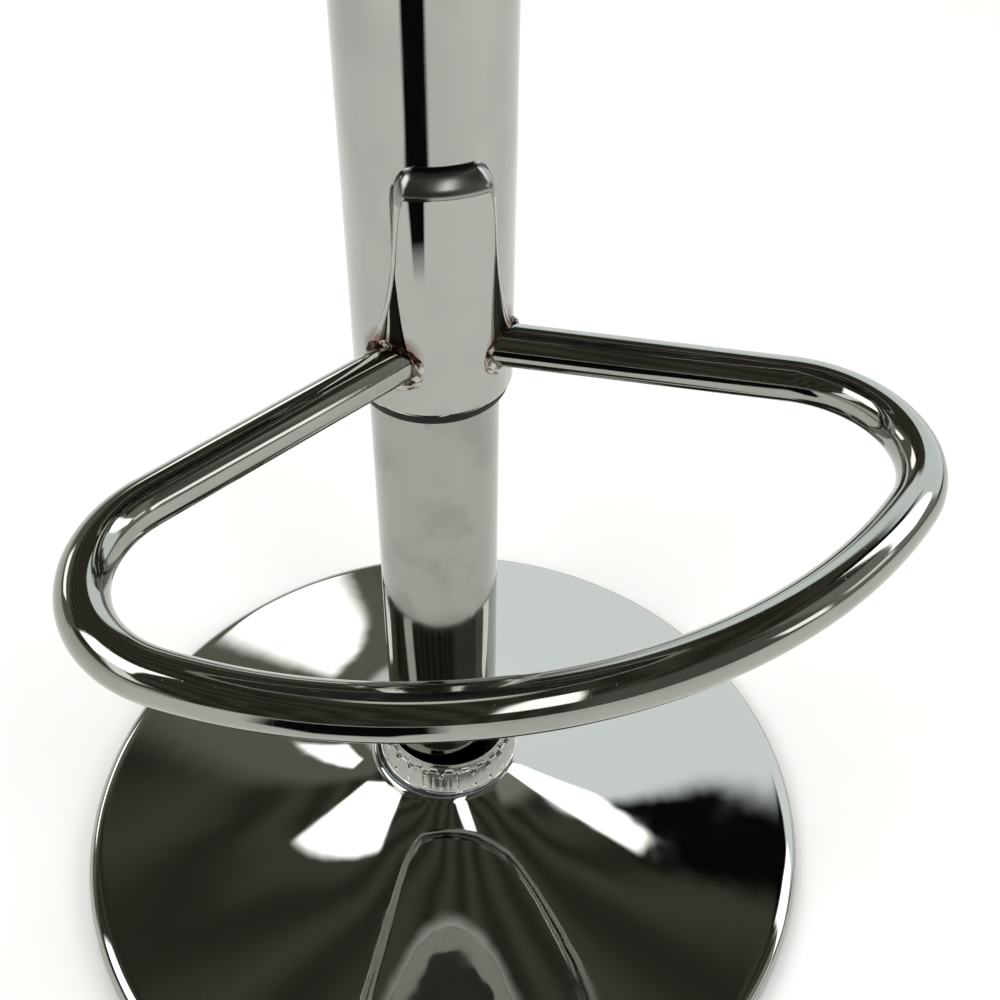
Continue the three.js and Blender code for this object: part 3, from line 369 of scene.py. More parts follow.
# The tube's and the foot ring's chrome take darker tints: painted shade for the shaded floor near the stool
# that they mirror
TUBE_CHROME = chrome("chromed_column_tube", "9A9B95", 0.04, 0.02 * MM, stains=0.17)
RING_CHROME = chrome("chromed_foot_ring", "999A94", 0.04, 0.02 * MM, 0.004 * MM)
BASE_CHROME = chrome("spun_chrome_base", "A7A8A3", 0.022, 0.034 * MM, 0.0006 * MM, stains=0)
COLLAR_CHROME = chrome("chromed_collar", "D6D6D2", 0.14, 0.02 * MM)
VINYL = seat_vinyl("red_upholstery_vinyl", "7E0D12", "971419")
ZINC = zinc_plate()
PLYWOOD = plywood()
# Stove enamel on pressed steel: a smooth dark film with orange peel and a satin gloss
ENAMEL = black_skin("black_stove_enamel", ("121213", "1E1E1F"), (0.24, 0.42), (25 * MM, 6.0), (1.6 * MM, 1.0),
                    0.03 * MM)
# Glass-filled nylon: moulded with a fine spark texture, slightly greasy in its gloss
NYLON = black_skin("moulded_black_nylon", ("0D0D0D", "191918"), (0.36, 0.55), (14 * MM, 3.0),
                   (0.45 * MM, 2.0), 0.03 * MM, specular=0.2)
# Vulcanised rubber: matt, with grey bloom and lint in its fine moulded grain
RUBBER = black_skin("vulcanised_rubber", ("161617", "2C2C2D"), (0.78, 0.78), (11 * MM, 6.0), (0.7 * MM, 3.0),
                    0.06 * MM)

SLOT_FINISH = {
    "rubber": RUBBER, "chrome_plate": CHROME, "weld_metal": weld_metal(), "plain_steel": turned_steel(),
    "zinc_plate": ZINC, "black_enamel": ENAMEL, "black_nylon": NYLON, "plywood": PLYWOOD,
    "red_vinyl": seat_vinyl("red_piping_vinyl", "760C10", "8C1216"), "red_padding": VINYL,
}


# Mesh tools
def curve(p0, p1, p2, p3, steps):
    """Points along a cubic Bezier curve, without its first point."""
    p0, p1, p2, p3 = (np.array(p, float) for p in (p0, p1, p2, p3))
    shares = np.linspace(0, 1, steps + 1)[1:, None]
    rest = 1 - shares
    points = rest**3 * p0 + 3 * rest**2 * shares * p1 + 3 * rest * shares**2 * p2 + shares**3 * p3
    return list(map(tuple, points))


def rounded(corners, steps=5):
    """A closed outline through (radius, height, fillet) corners."""
    points = []
    for i, (r, z, fillet) in enumerate(corners):
        here = np.array((r, z))
        if fillet <= 0:
            points.append((r, z))
            continue
        before = np.array(corners[i - 1][:2]) - here
        after = np.array(corners[(i + 1) % len(corners)][:2]) - here
        reach = [min(fillet, 0.48 * np.linalg.norm(side)) for side in (before, after)]
        start = here + before / np.linalg.norm(before) * reach[0]
        end = here + after / np.linalg.norm(after) * reach[1]
        for t in np.linspace(0, 1, steps):
            points.append(tuple((1 - t) ** 2 * start + 2 * t * (1 - t) * here + t**2 * end))
    return points


def unit(rows):
    """The rows, each brought to length 1."""
    return rows / np.linalg.norm(rows, axis=1, keepdims=True)


def round_axis(radius, turn, height):
    """Points round the column's axis. The turn starts at the front."""
    radius, turn, height = np.broadcast_arrays(radius, turn, height)
    return np.stack([radius * np.sin(turn), -radius * np.cos(turn), height], -1)


def full_turn(steps):
    """Angles that share a full turn evenly."""
    return np.arange(steps) * TAU / steps


def grid_faces(rows, columns, wrap_rows=True):
    """Four-sided faces over a grid of points, closed across the columns and, if asked, across the rows."""
    i, j = np.meshgrid(np.arange(rows if wrap_rows else rows - 1), np.arange(columns), indexing="ij")
    k, m = (i + 1) % rows, (j + 1) % columns
    faces = np.stack([i * columns + j, i * columns + m, k * columns + m, k * columns + j], -1)
    return faces.reshape(-1, 4).tolist()


def new_piece(name, points, faces, material, crease=35.0):
    """A mesh object at the origin, merged, closed at its poles and with its faces pointing outwards."""
    mesh = bpy.data.meshes.new(name)
    mesh.from_pydata([tuple(p) for p in points], [], faces)
    made = bmesh.new()
    made.from_mesh(mesh)
    bmesh.ops.remove_doubles(made, verts=made.verts, dist=1e-6)
    bmesh.ops.recalc_face_normals(made, faces=made.faces)
    made.to_mesh(mesh)
    made.free()
    mesh.shade_smooth()
    mesh.set_sharp_from_angle(angle=radians(crease))
    mesh.materials.append(material)
    return new_object(name, mesh)


def revolved(outline, segments):
    """The points and faces of a closed outline of (radius, height), turned about the column's axis."""
    outline = np.array(outline, float)
    points = round_axis(outline[:, :1], full_turn(segments), outline[:, 1:])
    return points.reshape(-1, 3), grid_faces(len(outline), segments)


def lathe(name, outline, segments, material, crease=35.0):
    points, faces = revolved(outline, segments)
    return new_piece(name, points, faces, material, crease)


def fit_piece(piece, body, slot, *nodes):
    """The piece rides on its body and stands for these CAD nodes, which it hides. slot is not used."""
    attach(piece, body)
    if nodes:
        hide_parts(*nodes)


# Base
def trumpet_line():
    """The base's outside: the neck's rolled edge, the flare, the brim and its turned-down edge."""
    rim, neck, top = BASE_RADIUS, BASE_NECK_RADIUS, BASE_NECK_TOP
    roll = (neck, top - 1.9 * MM)
    brim = (rim - BRIM_WIDTH, BRIM_HEIGHT)
    line = [(neck - 9.2 * MM, top), (neck - 3.4 * MM, top)]
    line += curve(line[-1], (neck - 1.8 * MM, top), (neck - 0.8 * MM, top - 0.9 * MM), roll, 7)
    line += curve(roll, FLARE_NEAR, FLARE_FAR, brim, 96)
    line += curve(brim, (rim - BRIM_WIDTH / 2, BRIM_HEIGHT - 0.8 * MM), (rim, BRIM_HEIGHT - 1.6 * MM),
                  (rim, BRIM_UPRIGHT), 16)
    return line + [(rim, 1.4 * MM), (rim - 0.25 * MM, 1.2 * MM)]


def base_shell():
    outside = np.array(trumpet_line())
    along = unit(np.gradient(outside, axis=0))
    inward = np.stack([along[:, 1], -along[:, 0]], 1)
    inside = (outside + inward * BASE_SHEET)[::-1]
    return lathe("trumpet_base", np.vstack([outside, inside]), 288, BASE_CHROME)


fit_piece(base_shell(), "base", "chrome_plate", "base_shell")


def middle_of(node):
    """The middle of a loose ring in plan: the trim rings have slipped sideways on the column."""
    low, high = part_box(node)
    return np.array([(low.x + high.x) / 2, (low.y + high.y) / 2, 0])


def seating_ring():
    low, high = heights_of("collar_gasket")
    corners = [(GASKET_BORE, low, 0), (GASKET_RADIUS, low, 0.5 * MM), (GASKET_RADIUS, high, 0.9 * MM),
               (GASKET_BORE, high, 0)]
    points, faces = revolved(rounded(corners, 8), 144)
    return new_piece("seating_ring", points + middle_of("collar_gasket"), faces, seating_steel())


fit_piece(seating_ring(), "base", "rubber", "collar_gasket")


# The collar's sizes in millimetres, and how far its band draws in for each millimetre of height
COLLAR_RADIUS, COLLAR_BORE, COLLAR_BAND = 33.3, 27.8, 12.3
NOTCH_DEPTH, VALLEY_DEPTH, MARK_DEPTH = 3.0, 0.14, 1.6
COLLAR_CONE = 0.25


def trim_collar():
    """The fluted collar: a conical band with half-round notches along its top and a small pressed mark under
    each notch, and a rolled lip that rises behind them. It is drawn in millimetres over its foot."""
    turns = full_turn(FLUTES * FLUTE_STEPS)
    place = (turns * FLUTES / TAU) % 1 - 0.5  # 0 in a notch, half between two
    notch = np.clip(1 - (np.abs(place) / 0.27) ** 2.4, 0, 1) ** 0.75
    valley = 1 - np.abs(np.cos(pi * place)) ** 0.5 + np.exp(-((place / 0.05) ** 2))
    band_top = COLLAR_BAND - NOTCH_DEPTH * notch
    outer, bore, top = COLLAR_RADIUS, COLLAR_BORE, (COLLAR_TOP - COLLAR_FOOT) / MM
    lip = bore + 1
    rows = [(bore, 0), (outer - 0.6, 0), (outer - 0.15, 0.2), (outer, 0.7), (outer - 0.05, 1.2)]
    for share in np.linspace(0.03, 1, 34):
        height = 1.2 + (band_top - 1.2) * share
        mark = np.clip(1 - np.abs(place) / 0.16 - abs(share - 0.3) / 0.1, 0, 1)
        sunk = VALLEY_DEPTH * min(1.0, share * 5) * valley + MARK_DEPTH * mark
        rows.append((outer - 0.1 - COLLAR_CONE * height - sunk, height))
    edge = rows[-1][0]
    rows += [(edge - 0.25, band_top + 0.16), (edge - 0.5, band_top - 0.05), (lip + 0.7, band_top - 0.4)]
    rows += [(lip + 0.4, band_top - 0.4), (lip + 0.1, 12.6), (lip - 0.4, 14.2)]
    rows += curve(rows[-1], (lip - 0.45, top - 0.5), (lip - 0.5, top), (lip - 0.6, top), 6)
    rows += curve(rows[-1], (lip - 0.9, top), (bore, top - 0.3), (bore, top - 1.2), 5)
    points = np.concatenate([round_axis(r, turns, z) for r, z in rows]) * MM
    points += middle_of("column_collar") + (0, 0, COLLAR_FOOT)
    return new_piece("trim_collar", points, grid_faces(len(rows), len(turns)), COLLAR_CHROME, 50)


fit_piece(trim_collar(), "base", "chrome_plate", "column_collar")


def column_tube():
    outer, inner = TUBE_RADIUS, TUBE_RADIUS - TUBE_WALL
    low, high = TUBE_BOTTOM, TUBE_TOP
    corners = [(inner, low, 0), (outer - 1 * MM, low, 0), (outer, low + TUBE_TAPER, 0),
               (outer, high, 0.8 * MM), (inner, high, 0)]
    return lathe("column_tube_chromed", rounded(corners), 192, TUBE_CHROME)


fit_piece(column_tube(), "base", "chrome_plate", "column_tube")


# Sleeve with its pressed panel. A place on it is given by its height over the sleeve's lower edge, its turn
# from the panel's middle, and how far across the panel it is: 0 in the middle and 1 at the panel's edge.
def panel_half_width(height):
    over = max(height - PANEL_FLARE_FROM, 0)
    return PANEL_HALF_WIDTH + PANEL_FLARE * exp(-over / PANEL_FLARE_FADE)


def panel_share(height, across):
    """How far up the panel's rounded edge a place is: 0 at the edge's foot and beyond, 1 on its face."""
    below = (PANEL_TOP - height) / PANEL_SHOULDER
    reach = panel_half_width(height) * SLEEVE_RADIUS
    side = (2.6 + 5 * exp(-max(PANEL_TOP - height, 0) / (10 * MM))) * MM
    beside = (1.08 - np.abs(across)) * reach / side
    left = np.clip(1 - below, 0, None) ** 2 + np.clip(1 - beside, 0, None) ** 2
    return np.clip(1 - np.sqrt(left), 0, 1)


def panel_rise(height, across):
    """The panel's height over the sleeve: full on its face, rolling off towards the top, the sides and the
    rounded corners between them."""
    lean = np.clip(height / (PANEL_TOP - PANEL_SHOULDER), 0, 1)
    return PANEL_RISE * lean * (1 - (1 - panel_share(height, across)) ** 1.8) ** 0.8


def panel_draw(height, across, turn):
    """How far the pressing has drawn the sleeve's wall out round the panel's upper end and above it."""
    over = height - PANEL_TOP + PANEL_SHOULDER
    along = exp(-((over / ((13 if over > 0 else 20) * MM)) ** 2))
    aside = np.clip((np.radians(85) - np.abs(turn)) / np.radians(40), 0, 1)
    return PANEL_DRAW * along * aside * aside * (3 - 2 * aside) * (1 - panel_share(height, across))


def sleeve_columns(height):
    """How far across the panel each column of points is at a height, and its turn."""
    front = np.concatenate([np.linspace(0, 0.4, 10), np.linspace(0.42, 1.1, 44)])
    back = np.linspace(0, 1, 46)[1:]
    edge = panel_half_width(height)
    half = np.concatenate([front * edge, 1.1 * edge + (pi - 1.1 * edge) * back])
    across = np.concatenate([front, np.full(len(back), 1.2)])
    return np.concatenate([across, across[-2:0:-1]]), np.concatenate([half, -half[-2:0:-1]])


def sleeve_row(height, radius, with_panel):
    across, turn = sleeve_columns(height)
    if with_panel:
        radius = radius + panel_rise(height, across) + panel_draw(height, across, turn)
    return round_axis(radius, turn + PANEL_TURN, SLEEVE_BOTTOM + height)


def column_sleeve():
    """The sleeve. Its chrome reads two values on its points and paints shade by both: how deep in the
    panel's crease they lie, and how far the pressing has worked the metal there."""
    outer, inner = SLEEVE_RADIUS, SLEEVE_RADIUS - SLEEVE_WALL
    length = SLEEVE_TOP - SLEEVE_BOTTOM
    heights = [np.linspace(0.5, 86, 76), np.linspace(87, 100.7, 69), np.linspace(101.2, 121, 16)]
    heights = np.concatenate(heights) * MM
    rows = [sleeve_row(0, inner, False), sleeve_row(0, outer - 0.5 * MM, False)]
    rows += [sleeve_row(h, outer, True) for h in heights]
    rows += [sleeve_row(h, outer, False) for h in np.linspace(128 * MM, length - 0.4 * MM, 12)]
    rows += [sleeve_row(length, outer - 0.4 * MM, False), sleeve_row(length, inner, False)]
    rows += [sleeve_row(h * MM, inner, True) for h in (121, 115, 108, 101, 97, 94, 90, 70, 40, 20)]
    faces = grid_faces(len(rows), len(rows[0]))
    piece = new_piece("chrome_sleeve", np.concatenate(rows), faces, SLEEVE_CHROME, 60)
    crease, worked = np.zeros((2, len(rows), len(rows[0])))
    for row, height in enumerate(heights, 2):
        share = panel_share(height, sleeve_columns(height)[0])
        crease[row] = np.where(share > 0, np.exp(-(((share - 0.06) / 0.07) ** 2)), 0)
        worked[row] = np.sin(pi * share) ** 0.5 * (height > PANEL_TOP - 1.3 * PANEL_SHOULDER)
    for name, values in (("crease", crease), ("worked", worked)):
        piece.data.attributes.new(name, "FLOAT", "POINT").data.foreach_set("value", values.ravel())
    return piece


fit_piece(column_sleeve(), "carriage", "chrome_plate", "column_sleeve")


def sleeve_bush():
    bore = TUBE_RADIUS + 0.45 * MM
    body = SLEEVE_RADIUS - SLEEVE_WALL - 0.3 * MM
    low, step, high = SLEEVE_BOTTOM - BUSH_BELOW, SLEEVE_BOTTOM - 0.3 * MM, SLEEVE_BOTTOM + BUSH_INSIDE
    corners = [(bore, low, 0.3 * MM), (BUSH_RADIUS, low, 0.7 * MM), (BUSH_RADIUS, step, 0), (body, step, 0),
               (body, high, 0.4 * MM), (bore, high, 0)]
    return lathe("sleeve_guide_bush", rounded(corners), 128, NYLON)


fit_piece(sleeve_bush(), "carriage", "black_nylon", "sleeve_bush")


# Foot ring
def ring_plan():
    """The right arm's two directions and the centres of the front arc and of the bend, in plan: x to the
    right and y to the front."""
    along = np.array([cos(RING_ARM_ANGLE), sin(RING_ARM_ANGLE)])
    across = np.array([-along[1], along[0]])
    front_centre = np.array([0, RING_REACH - RING_FRONT])
    inset = RING_ARM_OFFSET + RING_BEND - front_centre @ across
    run = sqrt((RING_FRONT - RING_BEND) ** 2 - inset**2)
    bend_centre = front_centre + across * inset + along * run
    return along, across, front_centre, bend_centre


def plan_arc(centre, radius, start, end, steps):
    """Points on an arc in plan, without its first point."""
    return [centre + radius * np.array([cos(a), sin(a)]) for a in np.linspace(start, end, steps)[1:]]


def ring_line():
    """The ring's centre line in plan, from arm to arm."""
    along, across, front_centre, bend_centre = ring_plan()
    arm_end = bend_centre - across * RING_BEND
    outward = bend_centre - front_centre
    to_front = atan2(outward[1], outward[0])
    start = across * RING_ARM_OFFSET + along * 14 * MM
    right = [start + (arm_end - start) * t for t in np.linspace(0, 1, 60)]
    right += plan_arc(bend_centre, RING_BEND, RING_ARM_ANGLE - pi / 2, to_front, 70)
    right += plan_arc(front_centre, RING_FRONT, to_front, pi / 2, 120)
    right = np.array(right)
    return np.vstack([right, (right * (-1, 1))[-2::-1]])


def tube_along(centre, radius, sides):
    """The points and faces of a round bar along a line of points that never stands upright."""
    ahead = unit(np.gradient(centre, axis=0))
    side = unit(np.cross(ahead, (0, 0, 1)))
    up = np.cross(side, ahead)
    rows = [centre + radius * (cos(a) * side + sin(a) * up) for a in full_turn(sides)]
    points = np.stack(rows, 1).reshape(-1, 3)
    faces = grid_faces(len(centre), sides, wrap_rows=False)
    return points, faces + [list(range(sides)), list(range(len(points) - sides, len(points)))]


def foot_ring():
    line = ring_line()
    centre = np.stack([line[:, 0], -line[:, 1], np.full(len(line), RING_HEIGHT)], -1)
    points, faces = tube_along(centre, RING_TUBE, 56)
    return new_piece("foot_ring_tube", points, faces, RING_CHROME, 60)


fit_piece(foot_ring(), "carriage", "chrome_plate", "foot_ring")


def weld_bead(side, name, seed, thickness):
    """A hand-laid bead round the foot of one arm: overlapping puddles of uneven size."""
    along, across = ring_plan()[:2]
    draw = np.random.default_rng(seed)
    sizes = draw.uniform(0.75, 1.25, WELD_PUDDLES + 1)
    sizes[-1] = sizes[0]
    phase = draw.uniform(0, TAU, 2)
    steps, sides = 200, 28
    collar = RING_TUBE + 1.1 * MM
    out = Vector((side * along[0], -along[1], 0))
    points = []
    for turn in full_turn(steps):
        puddle = turn / TAU * WELD_PUDDLES
        size = np.interp(puddle, range(WELD_PUDDLES + 1), sizes)
        ripple = abs(sin(pi * puddle)) ** 0.6
        swell = 1 + 0.9 * exp(-(((turn - 5.6) / 0.35) ** 2))
        sideways = RING_ARM_OFFSET + collar * cos(turn)
        reach = sqrt((SLEEVE_RADIUS + 1.4 * MM) ** 2 - sideways**2)
        centre = Vector((side * (along[0] * reach + across[0] * sideways),
                         -(along[1] * reach + across[1] * sideways), RING_HEIGHT + collar * sin(turn)))
        away = Vector((side * across[0] * cos(turn), -across[1] * cos(turn), sin(turn)))
        for angle in full_turn(sides):
            lump = 2.3 * MM * size * (0.88 + 0.16 * ripple)
            lump += 0.22 * MM * sin(3 * angle + 7 * turn + phase[0])
            lump += 0.16 * MM * sin(5 * angle - 11 * turn + phase[1])
            lump *= thickness * swell
            points.append(centre + out * lump * cos(angle) + away * lump * sin(angle))
    return new_piece(name, points, grid_faces(steps, sides), SLOT_FINISH["weld_metal"], 80)


fit_piece(weld_bead(1, "weld_bead_right", 5, 0.6), "carriage", "weld_metal", "weld_right")
fit_piece(weld_bead(-1, "weld_bead_left", 9, 0.7), "carriage", "weld_metal", "weld_left")


# Seat
def seat_band():
    line = []
    for share in np.linspace(0, 1, 73):
        depth = BAND_RIB * (1 + cos(TAU * BAND_RIBS * share)) / 2
        line.append((BAND_RADIUS - depth, BAND_LOW + (BAND_HIGH - BAND_LOW) * share))
    inside, lip, floor = BAND_RADIUS - BAND_RIB - BAND_WALL, PAN_RADIUS - BAND_LIP, BAND_LOW + BAND_FLOOR
    line += [(inside, BAND_HIGH), (inside, floor), (lip, floor), (lip, BAND_LOW)]
    return lathe("ribbed_seat_band", line, 320, CHROME)


fit_piece(seat_band(), "carriage", "chrome_plate", "seat_band")


def seat_piping():
    outline = [(PIPING_CIRCLE + PIPING_RADIUS * cos(a), PIPING_HEIGHT + PIPING_RADIUS * sin(a))
               for a in full_turn(20)]
    return lathe("seat_piping_cord", outline, 360, SLOT_FINISH["red_vinyl"], 80)


fit_piece(seat_piping(), "carriage", "red_vinyl", "seat_piping")


def seat_pan():
    corners = [(0, PAN_LOW, 0), (PAN_RADIUS, PAN_LOW, 1.5 * MM), (PAN_RADIUS, PAN_HIGH, 1.5 * MM),
               (0, PAN_HIGH, 0)]
    return lathe("plywood_seat_pan", rounded(corners), 160, PLYWOOD)


fit_piece(seat_pan(), "carriage", "plywood", "seat_pan")


def cushion_outline(shrink):
    """The cushion's section from the axis below, round the side, to the axis above."""
    seam, top, side = PIPING_HEIGHT, CUSHION_TOP - shrink, CUSHION_SIDE
    line = [(0, CUSHION_LOW)]
    line += [(r, CUSHION_LOW) for r in np.linspace(0.06, 1, 12) * (side - 6 * MM)]
    line += [(side + 1 * MM, CUSHION_LOW + 3 * MM), (side + 1 * MM, seam - 6 * MM)]
    line += [(side - 1 * MM, seam - 3 * MM)]
    start = (side - 1 * MM, seam + 3.4 * MM)
    rim = (165 * MM, top - 9 * MM)
    line += [start]
    line += curve(start, (194 * MM - shrink, seam + 9 * MM), (190 * MM - shrink, top - 14 * MM), rim, 12)
    return line + curve(rim, (125 * MM, top - 1 * MM), (60 * MM, top), (0, top), 14)


def points_of(mesh):
    flat = np.empty(len(mesh.vertices) * 3)
    mesh.vertices.foreach_get("co", flat)
    return flat.reshape(-1, 3)


def finished_mesh(piece):
    """The piece's mesh as its modifiers leave it."""
    return bpy.data.meshes.new_from_object(piece.evaluated_get(bpy.context.evaluated_depsgraph_get()))


def settle_mesh(piece):
    """Puts the finished mesh in the piece and takes its modifiers off."""
    mesh = finished_mesh(piece)
    piece.modifiers.clear()
    piece.data = mesh


def blow_up(piece, room):
    """Fills the cushion's cover with pressure, as cloth that is held below the piping. No point moves further
    than room, and the crown ends at its height in the frame."""
    remesh = piece.modifiers.new("even faces", "REMESH")
    remesh.mode = "VOXEL"
    remesh.voxel_size = 5 * MM
    remesh.use_smooth_shade = True
    settle_mesh(piece)
    start = points_of(piece.data)
    held = piece.vertex_groups.new(name="held")
    held.add(np.flatnonzero(start[:, 2] < PIPING_HEIGHT + PIPING_RADIUS).tolist(), 1.0, "REPLACE")
    cover = piece.modifiers.new("cover", "CLOTH")
    cover.settings.use_pressure = True
    cover.settings.uniform_pressure_force = CLOTH_PRESSURE
    cover.settings.vertex_group_mass = "held"
    cover.settings.effector_weights.gravity = 0
    cover.point_cache.frame_start, cover.point_cache.frame_end = 1, CLOTH_FRAMES
    for step in range(1, CLOTH_FRAMES + 1):
        bpy.context.scene.frame_set(step)
    move = points_of(finished_mesh(piece)) - start
    bpy.context.scene.frame_set(1)
    piece.modifiers.clear()
    piece.vertex_groups.clear()
    length = np.maximum(np.linalg.norm(move, axis=1, keepdims=True), 1e-9)
    points = start + move * np.minimum(1, room / length)
    crown = points[:, 2].max()
    share = np.clip((points[:, 2] - PIPING_HEIGHT) / (crown - PIPING_HEIGHT), 0, 1)
    points[:, 2] += share * (CUSHION_TOP - crown)
    piece.data.vertices.foreach_set("co", points.ravel())
    smoother = piece.modifiers.new("finer faces", "SUBSURF")
    smoother.levels = smoother.render_levels = 1
    settle_mesh(piece)


def seat_cushion():
    piece = lathe("seat_cushion_padded", cushion_outline(3 * MM), 128, VINYL, 60)
    blow_up(piece, 7 * MM)
    return piece


cushion = seat_cushion()
fit_piece(cushion, "carriage", "red_padding", "seat_cushion")


# Details that repeat, made by Geometry Nodes
def start_tree(name, sizes):
    """A new node tree with its named sizes: the tree, the function that adds a node, and what it is given."""
    tree = bpy.data.node_groups.new(name, "GeometryNodeTree")
    tree.interface.new_socket("Geometry", in_out="INPUT", socket_type="NodeSocketGeometry")
    for size in sizes:
        tree.interface.new_socket(size, in_out="INPUT", socket_type="NodeSocketFloat")
    tree.interface.new_socket("Geometry", in_out="OUTPUT", socket_type="NodeSocketGeometry")
    add = partial(add_node, tree)
    return tree, add, add("NodeGroupInput", out=None)


def end_tree(add, repeated, material):
    """Closes a tree that puts an instance on each point and paints them."""
    instances = add("GeometryNodeInstanceOnPoints", repeated)
    whole = add("GeometryNodeRealizeInstances", {"Geometry": instances})
    painted = add("GeometryNodeSetMaterial", {"Geometry": whole, "Material": material})
    add("NodeGroupOutput", {"Geometry": painted}, None)


def grow(name, mesh, tree, sizes):
    """The piece that a tree makes of a mesh, with these sizes, as a plain mesh."""
    piece = new_object(name, mesh)
    modifier = piece.modifiers.new("details", "NODES")
    modifier.node_group = tree
    for socket in tree.interface.items_tree:
        if socket.name in sizes:
            modifier[socket.identifier] = sizes[socket.name]
    settle_mesh(piece)
    piece.data.shade_smooth()
    return piece


def seam_stitches():
    """A row of stitches round the cushion's shoulder, laid on its surface."""
    tree, add, given = start_tree("stitches", STITCH)
    line = add("GeometryNodeMeshToCurve", {"Mesh": given["Geometry"]})
    places = add("GeometryNodeResampleCurve", {"Curve": line, "Length": given["Pitch"]}, mode="LENGTH")
    bead = add("GeometryNodeMeshUVSphere", {"Segments": 8, "Rings": 6, "Radius": 0.5})
    thick = given["Thickness"]
    size = add("ShaderNodeCombineXYZ", {"X": thick, "Y": thick, "Z": given["Length"]})
    along = add("FunctionNodeAlignRotationToVector", {"Vector": add("GeometryNodeInputTangent")}, axis="Z")
    end_tree(add, {"Points": places, "Instance": bead, "Rotation": along, "Scale": size}, thread())
    shape = BVHTree.FromObject(cushion, bpy.context.evaluated_depsgraph_get())
    rim = []
    for above in round_axis(STITCH_CIRCLE, full_turn(720), 1.0):
        rim.append(shape.ray_cast(Vector(above), Vector((0, 0, -1)))[0] + Vector((0, 0, 0.1 * MM)))
    path = bpy.data.meshes.new("stitch_line")
    path.from_pydata(rim, [(i, (i + 1) % len(rim)) for i in range(len(rim))], [])
    return grow("seam_stitches", path, tree, STITCH)


fit_piece(seam_stitches(), "carriage", "red_vinyl")


def seat_screws():
    """The four button-head screws with a hexagon socket that hold the plate under the seat. One is drawn in
    millimetres from the underside of its head."""
    low, end = heights_of("seat_screw_1")
    under = low + SCREW_HEAD
    length = (end - under) / MM
    turns = full_turn(48)
    hexagon = 2.0 / np.cos((turns + TAU / 12) % (TAU / 6) - TAU / 12)
    rows = [(0, -1.8), (hexagon * 0.9, -1.8), (hexagon, -2), (hexagon * 1.02, -3.9), (hexagon * 1.12, -4.15)]
    rows += curve((3.2, -4.2), (4.6, -4.1), (6.1, -3.2), (6.4, -1), 8)
    rows += [(6.4, -0.2), (6.2, 0), (3, 0), (3, length), (0, length)]
    points = np.concatenate([round_axis(r, turns, z) for r, z in rows]) * MM + (0, 0, under)
    one = new_piece("seat_screw", points, grid_faces(len(rows), len(turns), False), ZINC, 40)
    tree, add, given = start_tree("screws", ["Spacing"])
    gap = given["Spacing"]
    corners = add("GeometryNodeMeshGrid", {"Size X": gap, "Size Y": gap, "Vertices X": 2, "Vertices Y": 2})
    end_tree(add, {"Points": corners, "Instance": given["Geometry"]}, ZINC)
    mesh = one.data
    bpy.data.objects.remove(one)
    return grow("seat_screws", mesh, tree, {"Spacing": SCREW_SPACING})


fit_piece(seat_screws(), "carriage", "zinc_plate", "seat_screw_1", "seat_screw_2", "seat_screw_3",
          "seat_screw_4")


# Lever
def lift_lever():
    """The bent rod, its eye round the pivot and the flat tongue over the valve."""
    knee = PIVOT + np.array((4, 0, -1)) * MM
    line = [knee, *curve(knee, PIVOT + np.array((30, 0, -6)) * MM, LEVER_BEND + np.array((-35, 0, 3)) * MM,
                         LEVER_BEND, 40)]
    line += [LEVER_BEND + (LEVER_END - LEVER_BEND) * share for share in np.linspace(0, 0.93, 8)[1:]]
    points, faces = tube_along(np.array(line), 4 * MM, 28)
    points = list(map(tuple, points))
    turns = full_turn(40)
    eye = [(3.3, -6), (5.9, -6), (6.2, -5.6), (6.2, 5.6), (5.9, 6), (3.3, 6)]
    faces += [[len(points) + i for i in face] for face in grid_faces(len(eye), len(turns))]
    for r, y in eye:
        points += [(PIVOT[0] + r * MM * cos(a), y * MM, PIVOT[2] + r * MM * sin(a)) for a in turns]
    high = heights_of("lift_lever")[1]
    tongue = rounded([(PIVOT[0], -4.5 * MM, 0), (PIVOT[0], 4.5 * MM, 0), (-6 * MM, 4.5 * MM, 3 * MM),
                      (-6 * MM, -4.5 * MM, 3 * MM)])
    first, count = len(points), len(tongue)
    points += [(x, y, z) for z in (high - 3 * MM, high) for x, y in tongue]
    faces += [[first + i for i in face] for face in grid_faces(2, count, wrap_rows=False)]
    faces += [list(range(first, first + count)), list(range(first + count, first + 2 * count))]
    return new_piece("lift_lever_rod", points, faces, ZINC)


def lever_grip():
    """The moulded grip: waisted, with a rounded tip and four fine rings near its mouth."""
    line = [(4.4, 0), (6, 0), (6.6, 0.4), (6.8, 1.5)]
    for middle in (4.5, 7.5, 10.5, 13.5):
        line += [(6.62, middle - 0.8), (6.2, middle - 0.4), (6.2, middle + 0.4), (6.62, middle + 0.8)]
    line += curve((6.5, 15.5), (6.2, 22), (6.8, 38), (7.2, 48), 14)
    line += curve((7.2, 48), (7.5, 55.5), (5.4, 58), (0, 58), 14)
    line += [(0, 54), (4.4, 54)]
    points, faces = revolved(np.array(line) * MM, 56)
    along = Vector(LEVER_END - LEVER_BEND).normalized()
    aimed = np.array(along.to_track_quat("Z", "Y").to_matrix())
    mouth = LEVER_BEND + (LEVER_END - LEVER_BEND) * 0.17
    return new_piece("lever_grip_moulded", points @ aimed.T + mouth, faces, NYLON, 40)


fit_piece(lift_lever(), "lever", "zinc_plate", "lift_lever")
fit_piece(lever_grip(), "lever", "black_nylon", "lever_grip")


def floor_ring():
    high = heights_of("floor_ring")[1]
    outer, inner = BASE_RADIUS - 2.2 * MM, BASE_RADIUS - 8.5 * MM
    corners = [(inner, 0, 0.8 * MM), (outer, 0, 0.8 * MM), (outer, high, 0.3 * MM), (inner, high, 0.3 * MM)]
    return lathe("rubber_floor_ring", rounded(corners), 240, RUBBER)


